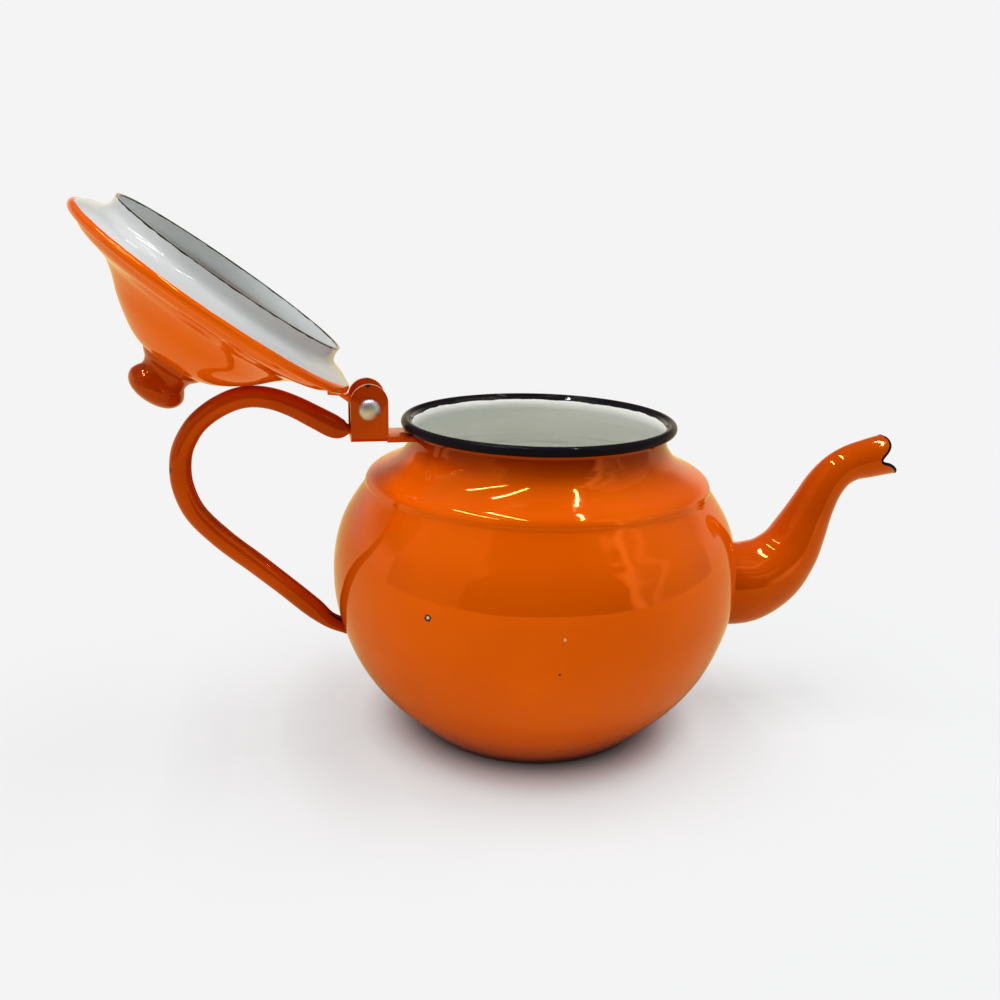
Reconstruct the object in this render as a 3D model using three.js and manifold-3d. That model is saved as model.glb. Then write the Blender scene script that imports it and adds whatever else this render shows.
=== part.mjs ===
import * as THREE from 'three';
import { mergeVertices } from 'three/addons/utils/BufferGeometryUtils.js';
import Module from 'manifold-3d';

// An enamelled steel teapot with a lid on a riveted hinge, shown with the lid
// leaning back on the handle. All sizes are in millimetres. The pot stands on
// z = 0 with its axis on the z axis, the spout points along +x and the handle
// and the hinge are at -x.

const wasm = await Module();
wasm.setup();

// Sizes shared by all pieces
const sheetWall = 0.9; // enamelled steel sheet
const weldGap = 0.3; // hairline left between a welded piece and its carrier
const cutOverrun = 12; // how far every cutting solid runs past what it cuts
const roundSides = 48; // flat sides of the large turned pieces
const smallSides = 24; // flat sides of the small turned pieces

const body = {
  baseRadius: 38.2,
  bellyRadius: 67.8,
  bellyHeight: 54,
  creaseRadius: 57.2,
  creaseHeight: 84.5,
  neckRadius: 41.5,
  neckRise: 17.5, // top of the neck above the crease
};

const rim = {
  beadRadius: 1.6,
  ringRadius: 43.7, // centre line of the rolled edge
  rise: 2.7, // centre line of the rolled edge above the neck
};

// Left column: share of the way from the base or crease radius to the belly
// radius. Right column: share of the height of that stretch.
const lowerGlobeShares = [
  [0, 0],
  [0.12, 0.072],
  [0.3, 0.167],
  [0.53, 0.3],
  [0.755, 0.48],
  [0.915, 0.7],
  [0.985, 0.87],
  [1, 1],
];
const upperGlobeShares = [
  [0.97, 0.22],
  [0.84, 0.46],
  [0.62, 0.66],
  [0.33, 0.83],
  [0, 1],
];
// Left column: share of the way from the neck radius to the crease radius.
const shoulderShares = [
  [1, 0],
  [0.985, 0.08],
  [0.94, 0.16],
  [0.85, 0.23],
  [0.62, 0.325],
  [0.41, 0.43],
  [0.25, 0.545],
  [0.145, 0.66],
  [0.07, 0.775],
  [0.03, 0.885],
  [0, 1],
];

const strainer = {
  holeRadius: 2.2,
  pitch: 7.5,
  ringCount: 6,
};

const spout = {
  rootRadius: 14.9,
  rootHeight: 44.3,
  tipRadius: 7.2,
  tipReach: 127.5,
  tipHeight: 90.3,
  flatShare: 0.92, // width of the oval root as a share of its height
};

// Centre line and swell of the spout: share of the way from the belly to the
// tip, share of the rise, and share of the radius still above the tip radius.
const spoutShares = [
  [-0.16, 0, 1],
  [0, 0, 1],
  [0.17, 0.005, 0.98],
  [0.33, 0.0935, 0.77],
  [0.44, 0.241, 0.48],
  [0.509, 0.417, 0.26],
  [0.5745, 0.615, 0.04],
  [0.636, 0.772, -0.07],
  [0.7085, 0.878, -0.11],
  [0.797, 0.941, -0.1],
  [0.894, 0.972, -0.04],
  [1, 1, 0],
  [1.15, 1.03, 0.03],
];

// Side view of the pouring edge: a round upper lobe, a notch and a lower lip.
// Both columns are shares of the tip radius, from the centre of the tip.
const pouringEdgeShares = [
  [-0.26, 1.4],
  [-0.25, 1.02],
  [-0.13, 0.86],
  [-0.14, 0.6],
  [-0.27, 0.38],
  [-0.54, 0.07],
  [-0.61, -0.07],
  [-0.53, -0.2],
  [-0.12, -0.32],
  [0.26, -0.56],
  [0.44, -0.74],
  [0.58, -0.9],
  [0.62, -1.4],
];

const rivet = {
  shankRadius: 1.6,
  headRadius: 3.5,
  headHeight: 1.8,
  tailRadius: 3,
  tailHeight: 1.1,
};

const hinge = {
  pinOverhang: 8.5, // pin beyond the edge of the lid
  pinRise: 6, // pin above the centre line of the pot's rolled edge
  openAngle: THREE.MathUtils.degToRad(144.4),
  bracketWidth: 14,
  earLength: 11.7,
  earThickness: 1.7,
  earTopRise: 2.2, // centre of the round top above the pin
  plateDrop: 4.4, // underside of the plate below the same centre line
  plateThickness: 1.8,
  foldRadius: 2.2,
  runningGap: 0.3, // between the eye of the leaf and the rivet shank
  sideGap: 0.4, // between the leaf and each ear
};

const leaf = {
  thickness: 1.2,
  eyeRadius: 3,
  overlap: 4.2, // length of the leaf that lies on the lid
};

const lid = {
  radius: 47.5,
  beadRadius: 1.5,
  edgeRise: 2.9, // centre line of the rolled edge above the seat
  seatGap: 0.3, // closed lid above the rolled edge of the pot
  brimSlopeShare: 0.27, // rise of the brim's underside for each unit outward
  collarRadius: 38.1,
  collarDepth: 6.2, // lower edge of the collar below the seat
  collarFillet: 2.2,
  crownHeight: 27.8, // top of the dome above the seat
  brimRise: 4.5, // foot of the dome's outline above the seat
};

// Dome outline: share of the lid radius, share of the rise to the crown.
const domeShares = [
  [0.94, 0],
  [0.89, 0.08],
  [0.785, 0.155],
  [0.69, 0.225],
  [0.6, 0.365],
  [0.512, 0.547],
  [0.43, 0.69],
  [0.305, 0.865],
  [0.2, 0.945],
  [0.1, 0.985],
  [0, 1],
];

const knob = {
  footRadius: 10.2,
  neckRadius: 7.3,
  radius: 8.9,
  topHeight: 40.4, // top of the knob above the seat
};

// Knob outline: which radius it follows with what share, and the share of the
// height from the dome's crown to the top of the knob.
const knobNeckShare = 0.2;
const knobWaistEndShare = 0.34;
const knobCapShares = [
  [0.93, 0.42],
  [1, 0.56],
  [0.9, 0.75],
  [0.68, 0.89],
  [0.36, 0.975],
  [0, 1],
];

const handle = {
  halfDepth: 3.5, // of the round channel, in the plane of the handle
  halfWidth: 3.5,
  flatHalfDepth: 1, // of the flattened ends
  endHalfWidth: 5, // of the flattened end between the ears
  footHalfWidth: 6, // of the flattened end on the belly
  footHalfDepth: 1.5,
  wall: 0.9,
  endInset: 4, // end of the handle beyond the pin, towards the pot
  crestRun: 29.5, // crest behind the ears
  reach: 114.2, // centre line of the grip from the pot's axis
  gripHeight: 91.8,
  footHeight: 36.3,
  leanGap: 0.3, // between the open lid and the crest
};
const seamHalfAngle = THREE.MathUtils.degToRad(30);
const flareShare = 0.85; // how round the channel is just behind the ears

// Handle centre line between its named places: share of the way in x, share
// of the way in z. Front: ears to crest. Back: crest to grip. Lower: to foot.
const handleFrontShares = [
  [0.07, 0.02],
  [0.155, 0.07],
  [0.345, 0.35],
  [0.585, 0.69],
  [0.805, 0.925],
];
const handleBackShares = [
  [0.2, 0.03],
  [0.41, 0.12],
  [0.63, 0.25],
  [0.8, 0.425],
  [0.955, 0.73],
];
const handleLowerShares = [
  [0.01, 0.11],
  [0.072, 0.256],
  [0.238, 0.425],
  [0.436, 0.58],
  [0.625, 0.732],
  [0.81, 0.888],
  [0.9, 0.965],
];

// Worked-out places
const neckHeight = body.creaseHeight + body.neckRise;
const rimHeight = neckHeight + rim.rise;
const rimTop = rimHeight + rim.beadRadius;
const seat = rimTop + lid.seatGap; // the closed lid's own zero height
const plateBottom = rimHeight - hinge.plateDrop;
const plateTop = plateBottom + hinge.plateThickness;
const pinX = -(lid.radius + hinge.pinOverhang);
const pinHeight = rimHeight + hinge.pinRise;
const earGap = hinge.bracketWidth - 2 * hinge.earThickness;
const earBack = pinX - hinge.earLength / 2;
const earFront = pinX + hinge.earLength / 2;

function material(color, roughness, metalness) {
  return new THREE.MeshStandardMaterial({ color, roughness, metalness });
}

const orangeEnamel = () => material(0xd9580b, 0.16, 0);
const whiteEnamel = () => material(0xe4e6e0, 0.2, 0);
const aluminium = () => material(0xbfbdbb, 0.38, 1);

// Turns a closed geometry into a solid: shared corners are merged, and the
// flat-out triangles that a turned profile has on its axis are left out.
function solidOf(geometry) {
  const bare = geometry.clone();
  bare.deleteAttribute('normal');
  bare.deleteAttribute('uv');
  const merged = mergeVertices(bare);
  const index = merged.index.array;
  const triangles = [];
  for (let i = 0; i < index.length; i += 3) {
    const [a, b, c] = [index[i], index[i + 1], index[i + 2]];
    if (a !== b && b !== c && c !== a) triangles.push(a, b, c);
  }
  return new wasm.Manifold(new wasm.Mesh({
    numProp: 3,
    vertProperties: new Float32Array(merged.attributes.position.array),
    triVerts: new Uint32Array(triangles),
  }));
}

function geometryOf(solid) {
  const mesh = solid.getMesh();
  const geometry = new THREE.BufferGeometry();
  const positions = new THREE.BufferAttribute(mesh.vertProperties, 3);
  geometry.setAttribute('position', positions);
  geometry.setIndex(new THREE.BufferAttribute(mesh.triVerts, 1));
  geometry.computeVertexNormals();
  return geometry;
}

// A smooth line through points in the plane, with a few steps in each stretch
function smoothLine(points, stepsPerStretch) {
  const curve = new THREE.CatmullRomCurve3(
    points.map((p) => new THREE.Vector3(p.x, p.y, 0)), false, 'centripetal');
  const count = (points.length - 1) * stepsPerStretch;
  return curve.getPoints(count).map((p) => new THREE.Vector2(p.x, p.y));
}

// Moves a line sideways: a positive distance goes to its left
function offsetLine(points, distance) {
  return points.map((point, i) => {
    const before = points[Math.max(i - 1, 0)];
    const after = points[Math.min(i + 1, points.length - 1)];
    const along = after.clone().sub(before).normalize();
    return new THREE.Vector2(
      point.x - along.y * distance, point.y + along.x * distance);
  });
}

function arcPoints(centreX, centreY, radius, fromDegrees, toDegrees, steps) {
  const points = [];
  for (let i = 0; i <= steps; i += 1) {
    const degrees = THREE.MathUtils.lerp(fromDegrees, toDegrees, i / steps);
    const angle = THREE.MathUtils.degToRad(degrees);
    points.push(new THREE.Vector2(
      centreX + radius * Math.cos(angle), centreY + radius * Math.sin(angle)));
  }
  return points;
}

// Turns a profile of (radius, height) points about the z axis
function turned(profile, sides) {
  return new THREE.LatheGeometry(profile, sides).rotateX(Math.PI / 2);
}

// Extrudes a side view, drawn in x and z, to both sides of the middle plane
function sideExtrusion(shape, width) {
  return new THREE.ExtrudeGeometry(shape, {
    depth: width, bevelEnabled: false, curveSegments: 10,
  }).rotateX(Math.PI / 2).translate(0, width / 2, 0);
}

// Skins a list of rings of points, each ring drawn on the same flat contour
function loft(rings, contour) {
  const ringSize = contour.length;
  const positions = rings.flat().flatMap((p) => [p.x, p.y, p.z]);
  const index = [];
  for (let i = 0; i < rings.length - 1; i += 1) {
    for (let j = 0; j < ringSize; j += 1) {
      const a = i * ringSize + j;
      const b = i * ringSize + ((j + 1) % ringSize);
      index.push(a, b, b + ringSize, a, b + ringSize, a + ringSize);
    }
  }
  const lastRing = (rings.length - 1) * ringSize;
  for (const [a, b, c] of THREE.ShapeUtils.triangulateShape(contour, [])) {
    index.push(c, b, a, lastRing + a, lastRing + b, lastRing + c);
  }
  const geometry = new THREE.BufferGeometry();
  geometry.setAttribute(
    'position', new THREE.Float32BufferAttribute(positions, 3));
  geometry.setIndex(index);
  return geometry;
}

// Rings square to a line in the x-z plane. The line's y value is free: it
// carries no place. sizeAt gives half the depth and half the width.
function ringsAlong(line, steps, contour, sizeAt) {
  const rings = [];
  for (let i = 0; i <= steps; i += 1) {
    const t = i / steps;
    const centre = line.getPoint(t);
    const along = line.getTangent(t);
    const inward = new THREE.Vector2(-along.z, along.x).normalize();
    const [halfDepth, halfWidth] = sizeAt(t);
    rings.push(contour(halfDepth, halfWidth).map((p) => new THREE.Vector3(
      centre.x + inward.x * p.x, -p.y, centre.z + inward.y * p.x)));
  }
  return rings;
}

function oval(halfDepth, halfWidth, sides) {
  return Array.from({ length: sides }, (_, i) => {
    const angle = (i / sides) * 2 * Math.PI;
    return new THREE.Vector2(
      halfDepth * Math.cos(angle), halfWidth * Math.sin(angle));
  });
}

function between(from, to, share) {
  return THREE.MathUtils.lerp(from, to, share);
}

// Pot

function globeLine() {
  const lower = lowerGlobeShares.map(([out, up]) => new THREE.Vector2(
    between(body.baseRadius, body.bellyRadius, out), body.bellyHeight * up));
  const upper = upperGlobeShares.map(([out, up]) => new THREE.Vector2(
    between(body.creaseRadius, body.bellyRadius, out),
    between(body.bellyHeight, body.creaseHeight, up)));
  return smoothLine([...lower, ...upper], 1);
}

function shoulderLine() {
  return smoothLine(shoulderShares.map(([out, up]) => new THREE.Vector2(
    between(body.neckRadius, body.creaseRadius, out),
    between(body.creaseHeight, neckHeight, up))), 1);
}

const potLine = [...globeLine(), ...shoulderLine().slice(1)];

// Radius of the pot's outside at a height
function potRadiusAt(height) {
  const above = potLine.findIndex((p) => p.y >= height);
  const [low, high] = [potLine[above - 1], potLine[above]];
  return between(low.x, high.x, (height - low.y) / (high.y - low.y));
}

// The pot's outside as a full solid, a little larger, that trims what is
// welded to it
function potEnvelope() {
  const outside = offsetLine(potLine, -weldGap);
  const foot = new THREE.Vector2(0, -cutOverrun);
  const heel = new THREE.Vector2(outside[0].x, -cutOverrun);
  const brow = new THREE.Vector2(outside.at(-1).x, rimTop);
  const crown = new THREE.Vector2(0, rimTop);
  return solidOf(turned([foot, heel, ...outside, brow, crown], roundSides));
}

function strainerHoles() {
  const holes = [[0, 0]];
  for (let i = 0; i < strainer.ringCount; i += 1) {
    const angle = (i / strainer.ringCount) * 2 * Math.PI;
    holes.push([strainer.pitch * Math.cos(angle), strainer.pitch * Math.sin(angle)]);
  }
  return holes.map(([across, up]) => solidOf(
    new THREE.CylinderGeometry(
      strainer.holeRadius, strainer.holeRadius, 2 * cutOverrun, smallSides / 2)
      .rotateZ(Math.PI / 2)
      .translate(potRadiusAt(spout.rootHeight + up), across, spout.rootHeight + up)));
}

function bodyShell() {
  const inside = offsetLine(potLine, sheetWall).filter((p) => p.y > sheetWall);
  const bead = arcPoints(rim.ringRadius, rimHeight, rim.beadRadius, -140, 140, 8);
  const floorCorner = new THREE.Vector2(body.baseRadius, sheetWall);
  const profile = [
    new THREE.Vector2(0, 0),
    ...potLine,
    ...bead,
    ...inside.reverse(),
    floorCorner,
    new THREE.Vector2(0, sheetWall),
  ];
  const shell = solidOf(turned(profile, roundSides));
  return geometryOf(strainerHoles().reduce((rest, hole) => rest.subtract(hole), shell));
}

// Spout

function spoutPoint([along, up, swell], inset) {
  const radius = between(spout.tipRadius, spout.rootRadius, swell) - inset;
  return new THREE.Vector3(
    between(body.bellyRadius, spout.tipReach, along),
    radius,
    between(spout.rootHeight, spout.tipHeight, up));
}

function spoutSolid(inset) {
  const line = new THREE.CatmullRomCurve3(
    spoutShares.map((row) => spoutPoint(row, inset)));
  const steps = (spoutShares.length - 1) * 2;
  const sides = smallSides;
  const rings = ringsAlong(line, steps, (depth, width) => oval(depth, width, sides), (t) => {
    const halfDepth = line.getPoint(t).y;
    const flat = between(spout.flatShare, 1, Math.min(t * 2, 1));
    return [halfDepth, halfDepth * flat];
  });
  return solidOf(loft(rings, oval(1, 1, sides)));
}

function pouringEdgeCutter() {
  const edge = pouringEdgeShares.map(([along, up]) => new THREE.Vector2(
    spout.tipReach + along * spout.tipRadius,
    spout.tipHeight + up * spout.tipRadius));
  const line = smoothLine(edge, 2);
  const [start, end] = [line[0], line.at(-1)];
  const far = spout.tipReach + 2 * cutOverrun;
  const shape = new THREE.Shape([
    new THREE.Vector2(start.x, start.y + cutOverrun),
    ...line,
    new THREE.Vector2(end.x, end.y - cutOverrun),
    new THREE.Vector2(far, end.y - cutOverrun),
    new THREE.Vector2(far, start.y + cutOverrun),
  ]);
  return solidOf(sideExtrusion(shape, 4 * spout.tipRadius));
}

const spoutTube = spoutSolid(0)
  .subtract(spoutSolid(sheetWall))
  .subtract(potEnvelope())
  .subtract(pouringEdgeCutter());

// Half of the spout: side is -1 for the half nearer -y, +1 for the other
function spoutHalf(side) {
  const reach = spout.tipReach + cutOverrun;
  const height = spout.tipHeight + 2 * spout.tipRadius + cutOverrun;
  const depth = 2 * spout.rootRadius;
  const block = new THREE.BoxGeometry(reach, depth, height)
    .translate(reach / 2, (side * depth) / 2, height / 2);
  return geometryOf(spoutTube.intersect(solidOf(block)));
}

// Hinge bracket: a strap whose two ears are folded up beside the leaf

function channelSolid() {
  const half = hinge.bracketWidth / 2;
  const innerHalf = earGap / 2;
  const top = pinHeight + hinge.earTopRise + hinge.earLength;
  const bottom = plateBottom;
  const fold = hinge.foldRadius;
  const shape = new THREE.Shape();
  shape.moveTo(-half, top);
  shape.lineTo(-half, bottom + fold);
  shape.quadraticCurveTo(-half, bottom, -half + fold, bottom);
  shape.lineTo(half - fold, bottom);
  shape.quadraticCurveTo(half, bottom, half, bottom + fold);
  shape.lineTo(half, top);
  shape.lineTo(innerHalf, top);
  shape.lineTo(innerHalf, plateTop);
  shape.lineTo(-innerHalf, plateTop);
  shape.lineTo(-innerHalf, top);
  shape.closePath();
  const length = hinge.earLength + 2 * cutOverrun;
  const channel = new THREE.ExtrudeGeometry(
    shape, { depth: length, bevelEnabled: false, curveSegments: 4 });
  return solidOf(channel
    .rotateX(Math.PI / 2)
    .rotateZ(Math.PI / 2)
    .translate(earBack - cutOverrun, 0, 0));
}

function earOutlineSolid() {
  const shape = new THREE.Shape();
  shape.moveTo(earBack, plateBottom - cutOverrun);
  shape.lineTo(earFront, plateBottom - cutOverrun);
  shape.absarc(pinX, pinHeight + hinge.earTopRise,
    hinge.earLength / 2, 0, Math.PI, false);
  shape.closePath();
  return solidOf(sideExtrusion(shape, hinge.bracketWidth + 2 * cutOverrun));
}

function strapSolid() {
  const length = -earBack;
  const box = new THREE.BoxGeometry(length, hinge.bracketWidth, hinge.plateThickness);
  const middle = plateBottom + hinge.plateThickness / 2;
  return solidOf(box.translate(-length / 2, 0, middle));
}

function hingeBracket() {
  const bore = rivet.shankRadius + hinge.runningGap;
  const hole = new THREE.CylinderGeometry(
    bore, bore, hinge.bracketWidth + 2 * cutOverrun, smallSides)
    .translate(pinX, 0, pinHeight);
  return geometryOf(channelSolid()
    .intersect(earOutlineSolid())
    .add(strapSolid())
    .subtract(solidOf(hole))
    .subtract(potEnvelope()));
}

// Rivet: a domed head on the near side, a shank and a flatter far end
function hingeRivet() {
  const half = hinge.bracketWidth / 2;
  const profile = [new THREE.Vector2(0, -half - rivet.headHeight)];
  const domeSteps = 5;
  for (let i = 1; i < domeSteps; i += 1) {
    const angle = (i / domeSteps) * (Math.PI / 2);
    profile.push(new THREE.Vector2(
      rivet.headRadius * Math.sin(angle),
      -half - rivet.headHeight * Math.cos(angle)));
  }
  profile.push(
    new THREE.Vector2(rivet.headRadius, -half),
    new THREE.Vector2(rivet.shankRadius, -half),
    new THREE.Vector2(rivet.shankRadius, half),
    new THREE.Vector2(rivet.tailRadius, half),
    new THREE.Vector2(rivet.tailRadius - rivet.tailHeight / 2, half + rivet.tailHeight),
    new THREE.Vector2(0, half + rivet.tailHeight));
  return geometryOf(solidOf(new THREE.LatheGeometry(profile, smallSides)
    .translate(pinX, 0, pinHeight)));
}

// Lid, drawn closed on the pot

function domeLine() {
  return smoothLine(domeShares.map(([out, up]) => new THREE.Vector2(
    lid.radius * out,
    seat + between(lid.brimRise, lid.crownHeight, up))), 1);
}

const lidEdge = {
  radius: lid.radius - lid.beadRadius,
  height: seat + lid.edgeRise,
};

function lidDome() {
  const outside = domeLine();
  const inside = offsetLine(outside, sheetWall);
  inside[inside.length - 1].x = 0;
  const bead = arcPoints(lidEdge.radius, lidEdge.height, lid.beadRadius, -160, 90, 8);
  const profile = [...inside.reverse(), ...bead, ...outside];
  return geometryOf(solidOf(turned(profile, roundSides)));
}

// Ring under the dome: a sloping brim that rests on the pot's rolled edge and
// a collar that reaches down inside the neck
function lidCollar() {
  const slope = lid.brimSlopeShare;
  const filletSpan = lid.collarFillet;
  const turnRadius = lid.collarRadius + filletSpan;
  const undersideAt = (radius) => seat + slope * (radius - rim.ringRadius);
  const edgeClearance = lid.beadRadius + weldGap;
  const edgeDrop = lidEdge.height - undersideAt(lidEdge.radius) - sheetWall;
  const outerRadius = lidEdge.radius
    - Math.sqrt(Math.max(edgeClearance ** 2 - edgeDrop ** 2, 0));
  const corner = new THREE.Vector2(lid.collarRadius, undersideAt(lid.collarRadius));
  const under = new THREE.QuadraticBezierCurve(
    new THREE.Vector2(turnRadius, undersideAt(turnRadius)),
    corner,
    new THREE.Vector2(lid.collarRadius, corner.y - filletSpan)).getPoints(5);
  const outer = [
    new THREE.Vector2(outerRadius, undersideAt(outerRadius)),
    ...under,
    new THREE.Vector2(lid.collarRadius, seat - lid.collarDepth),
  ];
  const inner = offsetLine(outer, -sheetWall);
  const profile = [...outer, ...inner.reverse()];
  profile.push(profile[0].clone());
  return geometryOf(solidOf(turned(profile.reverse(), roundSides)));
}

// Knob: a stamped shell, open below, welded on the crown of the dome
function lidKnob() {
  const crown = seat + lid.crownHeight;
  const top = seat + knob.topHeight;
  const rise = (share) => between(crown, top, share);
  const domeHeightAt = (radius) => {
    const line = domeLine();
    const past = line.findIndex((p) => p.x <= radius);
    const [outer, inner] = [line[past - 1], line[past]];
    return between(outer.y, inner.y, (outer.x - radius) / (outer.x - inner.x));
  };
  const outside = smoothLine([
    new THREE.Vector2(knob.footRadius, domeHeightAt(knob.footRadius) + weldGap),
    new THREE.Vector2(between(knob.neckRadius, knob.footRadius, knobNeckShare),
      rise(knobNeckShare / 2)),
    new THREE.Vector2(knob.neckRadius, rise(knobNeckShare)),
    new THREE.Vector2(knob.neckRadius, rise(knobWaistEndShare)),
    ...knobCapShares.map(([out, up]) => new THREE.Vector2(knob.radius * out, rise(up))),
  ], 1);
  const inside = offsetLine(outside, sheetWall);
  inside[inside.length - 1].x = 0;
  inside[0] = new THREE.Vector2(knob.footRadius - 2 * sheetWall,
    domeHeightAt(knob.footRadius - 2 * sheetWall) + weldGap);
  return geometryOf(solidOf(turned([...inside.reverse(), ...outside], smallSides)));
}

// Leaf: a strip welded on the brim, rolled into an eye round the rivet
function lidHingeLeaf() {
  const under = lidEdge.height + lid.beadRadius + weldGap;
  const over = under + leaf.thickness;
  const edgeX = -lidEdge.radius;
  const brim = offsetLine(domeLine(), -weldGap)
    .filter((p) => p.x < lidEdge.radius && p.x > lidEdge.radius - leaf.overlap);
  const brimTop = offsetLine(brim, -leaf.thickness);
  const shape = new THREE.Shape([
    new THREE.Vector2(pinX, under),
    new THREE.Vector2(edgeX, under),
    ...brim.filter((p) => p.y > under).map((p) => new THREE.Vector2(-p.x, p.y)),
    ...brimTop.filter((p) => p.y > over).reverse().map((p) => new THREE.Vector2(-p.x, p.y)),
    new THREE.Vector2(edgeX - leaf.thickness, over),
    new THREE.Vector2(pinX, over),
  ]);
  const width = earGap - 2 * hinge.sideGap;
  const eye = (radius, length) => solidOf(
    new THREE.CylinderGeometry(radius, radius, length, smallSides)
      .translate(pinX, 0, pinHeight));
  return geometryOf(solidOf(sideExtrusion(shape, width))
    .add(eye(leaf.eyeRadius, width))
    .subtract(eye(rivet.shankRadius + hinge.runningGap, width + 2 * cutOverrun)));
}

// Handle: a strip rolled into a channel whose seam faces the pot, with both
// ends pressed flat

// Lowest height of the open lid above a place on the x axis
function openLidHeightAt(x) {
  const cos = Math.cos(hinge.openAngle);
  const sin = Math.sin(hinge.openAngle);
  const opened = domeLine().map((p) => {
    const [dx, dz] = [-p.x - pinX, p.y - pinHeight];
    return new THREE.Vector2(
      pinX + dx * cos - dz * sin, pinHeight + dx * sin + dz * cos);
  });
  const heights = [];
  for (let i = 0; i < opened.length - 1; i += 1) {
    const [a, b] = [opened[i], opened[i + 1]];
    const share = (x - a.x) / (b.x - a.x);
    if (share >= 0 && share <= 1) heights.push(between(a.y, b.y, share));
  }
  return Math.min(...heights);
}

function handlePoints() {
  const end = new THREE.Vector3(
    pinX + handle.endInset, 0, plateTop + weldGap + handle.flatHalfDepth);
  const ears = new THREE.Vector3(earBack, 0, end.z);
  const crestX = earBack - handle.crestRun;
  const crest = new THREE.Vector3(
    crestX, 0, openLidHeightAt(crestX) - handle.leanGap - handle.halfDepth);
  const grip = new THREE.Vector3(-handle.reach, 0, handle.gripHeight);
  const foot = new THREE.Vector3(
    -potRadiusAt(handle.footHeight), 0, handle.footHeight);
  const stretch = (from, to, shares) => shares.map(([across, up]) => new THREE.Vector3(
    between(from.x, to.x, across), 0, between(from.z, to.z, up)));
  return [
    end, ears,
    ...stretch(ears, crest, handleFrontShares), crest,
    ...stretch(crest, grip, handleBackShares), grip,
    ...stretch(grip, foot, handleLowerShares), foot,
  ];
}

// Half depth and half width of the channel at each point of its centre line
function handleSizes(count) {
  const flat = [handle.flatHalfDepth, handle.endHalfWidth];
  const round = [handle.halfDepth, handle.halfWidth];
  const foot = [handle.footHalfDepth, handle.footHalfWidth];
  const flaring = [0, 1].map((i) => between(flat[i], round[i], flareShare));
  const opening = [flat, flat, flaring];
  const closing = [foot, foot];
  const middle = Array(count - opening.length - closing.length).fill(round);
  return [...opening, ...middle, ...closing];
}

function channelContour(halfDepth, halfWidth) {
  const steps = 9;
  const wall = Math.min(handle.wall, halfDepth * (handle.wall / handle.flatHalfDepth));
  const points = [];
  for (const [depth, width, from, to] of [
    [halfDepth, halfWidth, seamHalfAngle, 2 * Math.PI - seamHalfAngle],
    [halfDepth - wall, halfWidth - wall, 2 * Math.PI - seamHalfAngle, seamHalfAngle],
  ]) {
    for (let i = 0; i <= steps; i += 1) {
      const angle = between(from, to, i / steps);
      points.push(new THREE.Vector2(depth * Math.cos(angle), width * Math.sin(angle)));
    }
  }
  return points;
}

function handleChannel() {
  const points = handlePoints();
  const line = new THREE.CatmullRomCurve3(points);
  const sizes = new THREE.CatmullRomCurve3(
    handleSizes(points.length).map(([depth, width]) => new THREE.Vector3(depth, width, 0)));
  const steps = (points.length - 1) * 2;
  const rings = ringsAlong(line, steps, channelContour, (t) => {
    const size = sizes.getPoint(t);
    return [size.x, size.y];
  });
  const contour = channelContour(handle.halfDepth, handle.halfWidth);
  return geometryOf(solidOf(loft(rings, contour)).subtract(potEnvelope()));
}

// Assembly

function piece(name, geometry, finish) {
  const mesh = new THREE.Mesh(geometry, finish);
  mesh.name = name;
  return mesh;
}

const teapot = new THREE.Group();
teapot.add(
  piece('body_shell', bodyShell(), orangeEnamel()),
  piece('spout_near_half', spoutHalf(-1), orangeEnamel()),
  piece('spout_far_half', spoutHalf(1), orangeEnamel()),
  piece('handle', handleChannel(), orangeEnamel()),
  piece('hinge_bracket', hingeBracket(), orangeEnamel()),
  piece('hinge_rivet', hingeRivet(), aluminium()),
);

// The lid turns about the rivet: its pieces are drawn closed and swung open
const lidGroup = new THREE.Group();
lidGroup.position.set(pinX, 0, pinHeight);
lidGroup.rotation.y = -hinge.openAngle;
const fromPin = (geometry) => geometry.translate(-pinX, 0, -pinHeight);
lidGroup.add(
  piece('lid_dome', fromPin(lidDome()), orangeEnamel()),
  piece('lid_collar', fromPin(lidCollar()), whiteEnamel()),
  piece('lid_knob', fromPin(lidKnob()), orangeEnamel()),
  piece('lid_hinge_leaf', fromPin(lidHingeLeaf()), orangeEnamel()),
);
teapot.add(lidGroup);

export default teapot;
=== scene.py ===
# %% [markdown]
# # An enamel teapot with its lid leaning back on the handle
# All of this pot but its rivet is steel sheet under glassy enamel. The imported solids
# give the places and the joint, but they have flat sides, and smoothing them would
# only blur their corners. So each piece is drawn again here with smooth curves, in
# metres, in the same frame: the pot stands on z = 0 about the z axis, the spout
# points along +x and the hinge is at -x.

# %% Load the frame
import math

import bpy
from mathutils import Matrix, Vector


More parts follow.
